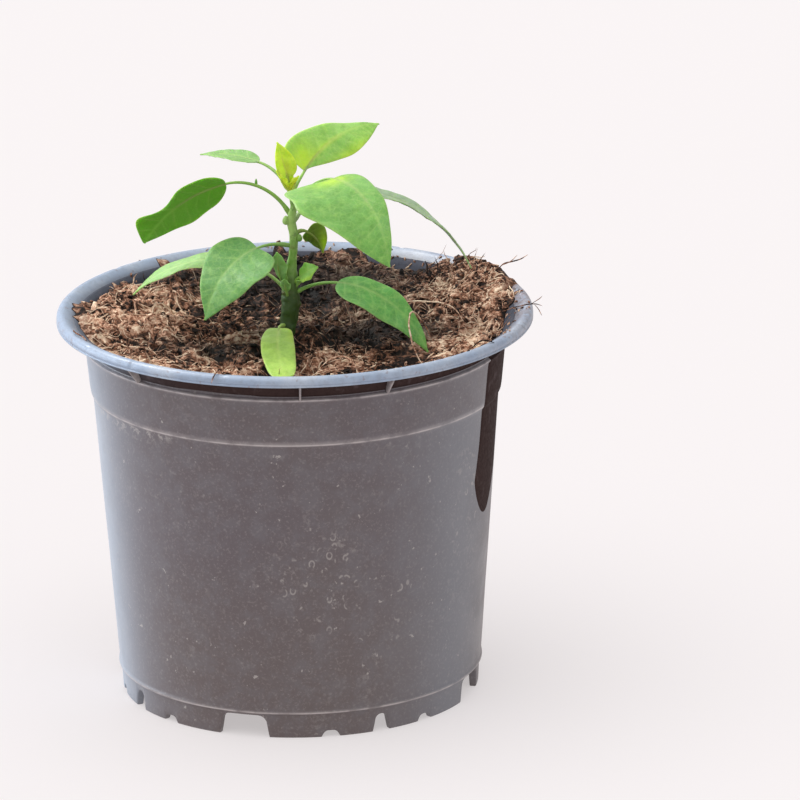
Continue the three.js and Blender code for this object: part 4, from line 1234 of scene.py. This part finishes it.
def leafFrame(leaf, share):
    # The place, direction, upper side and right-hand side of the leaf's midline at shares of its length.
    line = leafRoute(leaf)
    sizes = np.linalg.norm(np.diff(line, axis=0), axis=1)
    run = np.concatenate([[0], np.cumsum(sizes)]) / np.sum(sizes)
    tangents = np.gradient(line, run, axis=0)
    at = np.stack([np.interp(share, run, line[:, k]) for k in range(3)], -1)
    along = unit(np.stack([np.interp(share, run, tangents[:, k]) for k in range(3)], -1))
    bladeStart = leaf["stalk"] / (leaf["stalk"] + leaf["length"])
    reach = np.clip((share - bladeStart) / (1 - bladeStart), 0, 1)
    level = unit(np.stack([along[:, 1], -along[:, 0], 0 * share], -1))
    roll = np.radians(leaf["roll"][0] + (leaf["roll"][1] - leaf["roll"][0]) * reach)[:, None]
    up = np.cross(level, along) * np.cos(roll) + level * np.sin(roll)
    return at, along, up, np.cross(along, up)


def halfWidth(half, share, blade):
    # Nothing at both ends and the full width where it is widest; a dip draws the edge in round one place
    # and a corner lets it out again round another.
    width, widest, taper, own = half
    swell = taper * widest / (1 - widest)
    rise = (share / widest) ** swell
    fall = ((1 - share) / (1 - widest)) ** taper
    drawnIn = 1 - own.get("dip", 0) * bell((share - own.get("dipAt", 0.5)) / blade["dipLength"])
    letOut = own.get("corner", 0) * bell((share - own.get("cornerAt", 0.8)) / blade["cornerLength"])
    return np.maximum(width * (rise * fall * drawnIn + letOut), blade["narrowest"])


def veinsAt(along, away, blade, seed):
    # 1 on a side vein and 0 between: veins leave the midrib at even gaps and lean towards the tip.
    bend = 0.04 * away ** 2
    place = np.stack(np.broadcast_arrays(along, away, 0.0), -1)
    wander = 0.9 * lumps(place, 5, 70 + seed)
    phase = (along - blade["veinLean"] * away + bend + wander + 0.4 * seed) / blade["veinGap"]
    gap = np.abs(phase - np.round(phase)) * blade["veinGap"]
    strength = np.clip(away / 0.9, 0, 1) * np.clip(1.3 - away / 9, 0.2, 1)
    return bell(gap / 0.24) * strength, np.cos(2 * np.pi * phase)


def makeBlade(leaf, blade, number):
    # Rows across the midline from the base to the tip, closer together at both ends: each point lies
    # out * halfWidth beside the midline, raised by the fold and the wave, and sunk along the veins.
    start = leaf["stalk"] / (leaf["stalk"] + leaf["length"])
    rows = int(leaf["length"] / blade["rowLength"]) + 20
    reach = (1 - np.cos(np.pi * np.arange(rows) / (rows - 1))) / 2
    at, along, up, across = leafFrame(leaf, start + (1 - start) * reach)
    spread = np.linspace(0, 1, blade["halfColumns"] + 1) ** 0.9
    out = np.concatenate([-spread[:0:-1], spread])
    isRight = out >= 0
    halves = leaf["right"], leaf["left"]
    width = np.where(isRight, *(halfWidth(half, reach, blade)[:, None] for half in halves))
    fold = np.where(isRight, *(math.radians(half[3].get("fold", leaf["fold"])) for half in halves))
    shoulder = np.where(isRight, *(half[3].get("shoulder", blade["shoulder"]) for half in halves))
    sideways = np.abs(out) * width
    reach = reach[:, None]
    phase = 2 * np.pi * (blade["waves"] * reach + blade["waveShift"] * isRight)
    wave = leaf.get("wave", 1) * blade["wave"] * out ** 2 * np.sin(phase) * np.sin(np.pi * reach)
    raised = sideways * np.sin(fold) + wave
    back = out ** 2 * width * shoulder * (1 - reach) ** 2
    seat = at[:, None] + across[:, None] * (out * width * np.cos(fold))[..., None]
    seat = seat - along[:, None] * back[..., None]

    scale = min(1, leaf["length"] / blade["scaleLength"])
    vein, pillow = veinsAt(reach * leaf["length"] / scale, sideways / scale, blade, number)
    inner = np.clip((1 - np.abs(out)) / 0.12, 0, 1) * np.sin(np.pi * reach) ** 0.4
    midrib = bell(sideways / (0.42 * scale)) * (1 - 0.7 * reach)
    puff = -blade["quilt"] * pillow * np.clip(sideways / 2.5, 0, 1)
    puff = puff + blade["crinkle"] * (lumps(seat, 3.2, 50 + number) + 0.5 * lumps(seat, 1.5, 51 + number))
    relief = (puff - blade["veinDepth"] * vein) * inner * scale
    relief = relief - blade["midribDepth"] * midrib * inner * scale
    thick = 0.5 * blade["thickness"] * np.sqrt(np.clip(1 - np.abs(out) ** 10, 0, 1)) * (0.5 + 0.5 * inner)
    thick = thick + 0.02
    upper = seat + up[:, None] * (raised + relief + thick)[..., None]
    ribbed = 0.1 * scale * (vein + midrib) * inner
    lower = seat + up[:, None] * (raised + relief - thick - ribbed)[..., None]

    firm = np.clip(vein * 0.5 * leaf.get("veins", 1) + 1.15 * midrib, 0, 1)
    glow = sum((much * bell((reach - share) / long, (out - place) / wide)
                for share, place, long, wide, much in leaf.get("glow", [])), np.zeros_like(firm))
    margin = ramp(np.abs(out), 0.9, 1) + 0 * reach
    both = {"vein": firm, "glow": np.clip(glow, 0, 1), "margin": margin}
    values = {label: np.concatenate([value, value[:, ::-1]], 1) for label, value in both.items()}
    values["under"] = np.concatenate([0 * firm, 0 * firm + 1], 1)
    return gridShell(np.concatenate([upper, lower[:, ::-1]], 1), closeEnds=True, **values)


def makeStalk(leaf, blade):
    # A tube along the leaf's midline that runs on as a rib under the blade, grooved along its upper side.
    start = leaf["stalk"] / (leaf["stalk"] + leaf["length"])
    end = start + (1 - start) * blade["ribReach"]
    share = np.concatenate([np.linspace(0, start, 40)[:-1], np.linspace(start, end, 30)])
    at, _, up, _ = leafFrame(leaf, share)
    onRib = np.clip((share - start) / (end - start), 0, 1)
    first, second, third = blade["stalkRadii"]
    radius = np.where(share < start, first + (second - first) * share / start,
                      second + (third - second) * onRib)
    radius = radius * (1 + 0.25 * bell((share * (leaf["stalk"] + leaf["length"]) - 2.6) / 1.2))
    radius = radius * np.sqrt(np.clip((1 - onRib) / 0.15, 0, 1))
    radius[0] = 0
    centres = at - up * (blade["ribDrop"] * ramp(share, start * 0.9, start + 0.1))[:, None]
    turn = 2 * np.pi * np.arange(14) / 14
    groove = 1 - 0.22 * bell(((turn + np.pi) % (2 * np.pi) - np.pi) / 0.5)
    return sweep(centres[None], (radius[:, None] * groove)[None], up[None], vein=0.45, stalk=1.0, under=0.5)


def leafSkin(name, look):
    # Soft green mottled with warmer and cooler patches, a fine paler net of veins, a pale midrib, a duller
    # underside, painted bright patches where light comes through and a painted highlight along the margin.
    r = Recipe(name + "_skin")
    mottle = r.noise(190, 5, 0.65)
    colour = r.blend(r.range(mottle, 0.36, 0.64), paint(look["deep"]), paint(look["base"]))
    colour = r.coat(colour, r.patches((420, 4, 0.7), 0.45, 0.72, 0, 0.5), look["light"])
    colour = r.coat(colour, r.patches((75, 3), 0.42, 0.7, 0, 0.45), look["cool"])
    net = r.range(r.cells(640, "DISTANCE_TO_EDGE"), 0.12, 0.02)
    colour = r.coat(colour, r.times(net, 0.13), look["vein"])
    colour = r.coat(colour, r.times(r.attribute("under"), 0.75), look["under"])
    glow = r.times(r.attribute("glow"), r.range(mottle, 0.3, 0.65, 0.6, 1))
    colour = r.coat(colour, glow, look["glow"])
    colour = r.coat(colour, r.times(r.attribute("vein"), 0.48), look["vein"])
    # Painted highlight along the margin.
    colour = r.coat(colour, r.times(r.attribute("margin"), 0.22), look["vein"])
    colour = r.coat(colour, r.times(r.attribute("stalk"), 0.7), look["stalk"])
    normal = r.bump(net, 0.25, 0.0001, r.bump(r.noise(620, 4, 0.6), 0.45, 0.0003))
    dull = r.patches((300, 3), 0.3, 0.7, 0.46, 0.64)
    return r.finish(colour, dull, normal, Subsurface_Weight=0.35, Subsurface_Scale=1.0,
                    Subsurface_Radius=(0.0012, 0.002, 0.0005), Sheen_Weight=0.08)


def shade(code, toward, share):
    # A colour code moved part of the way toward another.
    pairs = [(int(code[k:k + 2], 16), int(toward[k:k + 2], 16)) for k in (0, 2, 4)]
    return "".join(f"{round(own * (1 - share) + other * share):02x}" for own, other in pairs)


for number, (name, leaf) in enumerate(leafShapes.items()):
    base = leaf["colour"]
    look = {
        "base": base,
        "deep": shade(base, "2c5a10", 0.22),
        "light": shade(base, "cbe07a", 0.4),
        "cool": shade(base, "9cc3a0", 0.35),
        "under": leaf.get("under", shade(base, "b4cfa0", 0.5)),
        "glow": "bcd91a",
        "vein": shade(base, "d5e78a", 0.6),
        "stalk": shade(base, "98b25c", 0.7),
    }
    shells = [makeBlade(leaf, bladeShape, number), makeStalk(leaf, bladeShape)]
    if "bract" in leaf:
        at, _, up, _ = leafFrame(leaf, np.array([leaf["bract"]]))
        shells.append(makeBud((*(at[0] + bladeShape["bractLift"] * up[0]), *bladeShape["bractSize"])))
    for k, small in enumerate(smallLeaves.get(name, [])):
        shells += [makeBlade(small, bladeShape, 20 + k), makeStalk(small, bladeShape)]
    addPiece(name + "_blade", shells, leafSkin(name, look), name)
print("leaves made:", len(leafShapes))


# The floor and the light.

lightSetup = {
    "world": (0.97, 0.985, 1.0),
    "worldStrength": 0.62,
    "floor": "bab5b5",
    "floorShade": "b8b4b3",
    "floorGlow": {"colour": "f9f4f4", "strength": 0.5},     # its own light, which keeps its shadow faint
    "sky": {"strength": 1.25, "spread": 75, "from": (-0.25, -0.1, 1)},   # a broad soft light from overhead
    "lightAim": (0, 0, 0.08),
    "lights": [
        {"name": "key", "place": (-0.55, 0.35, 0.95), "size": 0.45, "power": 9, "colour": (1, 0.98, 0.94)},
        {"name": "left", "place": (-1.1, 0.25, 0.25), "size": 0.9, "power": 8, "colour": (0.8, 0.9, 1)},
        {"name": "front", "place": (0.5, -1.5, 0.8), "size": 1.2, "power": 3, "colour": (0.97, 0.98, 1)},
    ],
}


def addStage(setup):
    # A wide level floor under the pot, so that the horizon stays out of view.
    turn = 2 * np.pi * np.arange(96) / 96
    radii = np.array([0.01, 0.3, 1, 4, 14])[:, None]
    mesh = bpy.data.meshes.new("floor")
    faces = gridFaces(len(radii), len(turn)).tolist() + [list(range(len(turn)))]
    mesh.from_pydata(ringPoints(radii, turn, 0).reshape(-1, 3).tolist(), [], faces)
    floor = addObject("floor", mesh)
    r = Recipe("paleFloor")
    soft = r.coat(paint(setup["floor"]), r.patches((1.5, 2), 0.3, 0.7, 0, 0.15), setup["floorShade"])
    glow = setup["floorGlow"]
    mesh.materials.append(r.finish(soft, 0.9, Specular_IOR_Level=0.1, Emission_Color=paint(glow["colour"]),
                                   Emission_Strength=glow["strength"]))
    return floor


def addLights(setup, floor):
    # The lamps light the plant and leave out the floor, which has only the world and the soft sky.
    world = bpy.data.worlds.new("studio")
    world.use_nodes = True
    background = world.node_tree.nodes["Background"]
    background.inputs["Color"].default_value = (*setup["world"], 1)
    background.inputs["Strength"].default_value = setup["worldStrength"]
    bpy.context.scene.world = world
    sky = bpy.data.lights.new("sky", "SUN")
    sky.energy = setup["sky"]["strength"]
    sky.angle = math.radians(setup["sky"]["spread"])
    overhead = addObject("sky", sky)
    overhead.rotation_euler = Vector(setup["sky"]["from"]).to_track_quat("Z", "Y").to_euler()
    unlit = bpy.data.collections.new("leftOut")
    unlit.objects.link(floor)
    unlit.collection_objects[0].light_linking.link_state = "EXCLUDE"
    for spec in setup["lights"]:
        data = bpy.data.lights.new(spec["name"], "AREA")
        data.shape = "DISK"
        data.size = spec["size"]
        data.energy = spec["power"]
        data.color = spec["colour"]
        light = addObject(spec["name"], data)
        light.location = spec["place"]
        toward = Vector(setup["lightAim"]) - light.location
        light.rotation_euler = toward.to_track_quat("-Z", "Y").to_euler()
        light.light_linking.receiver_collection = unlit


addLights(lightSetup, addStage(lightSetup))
bpy.context.scene.view_settings.view_transform = "Standard"
print("floor and light made")
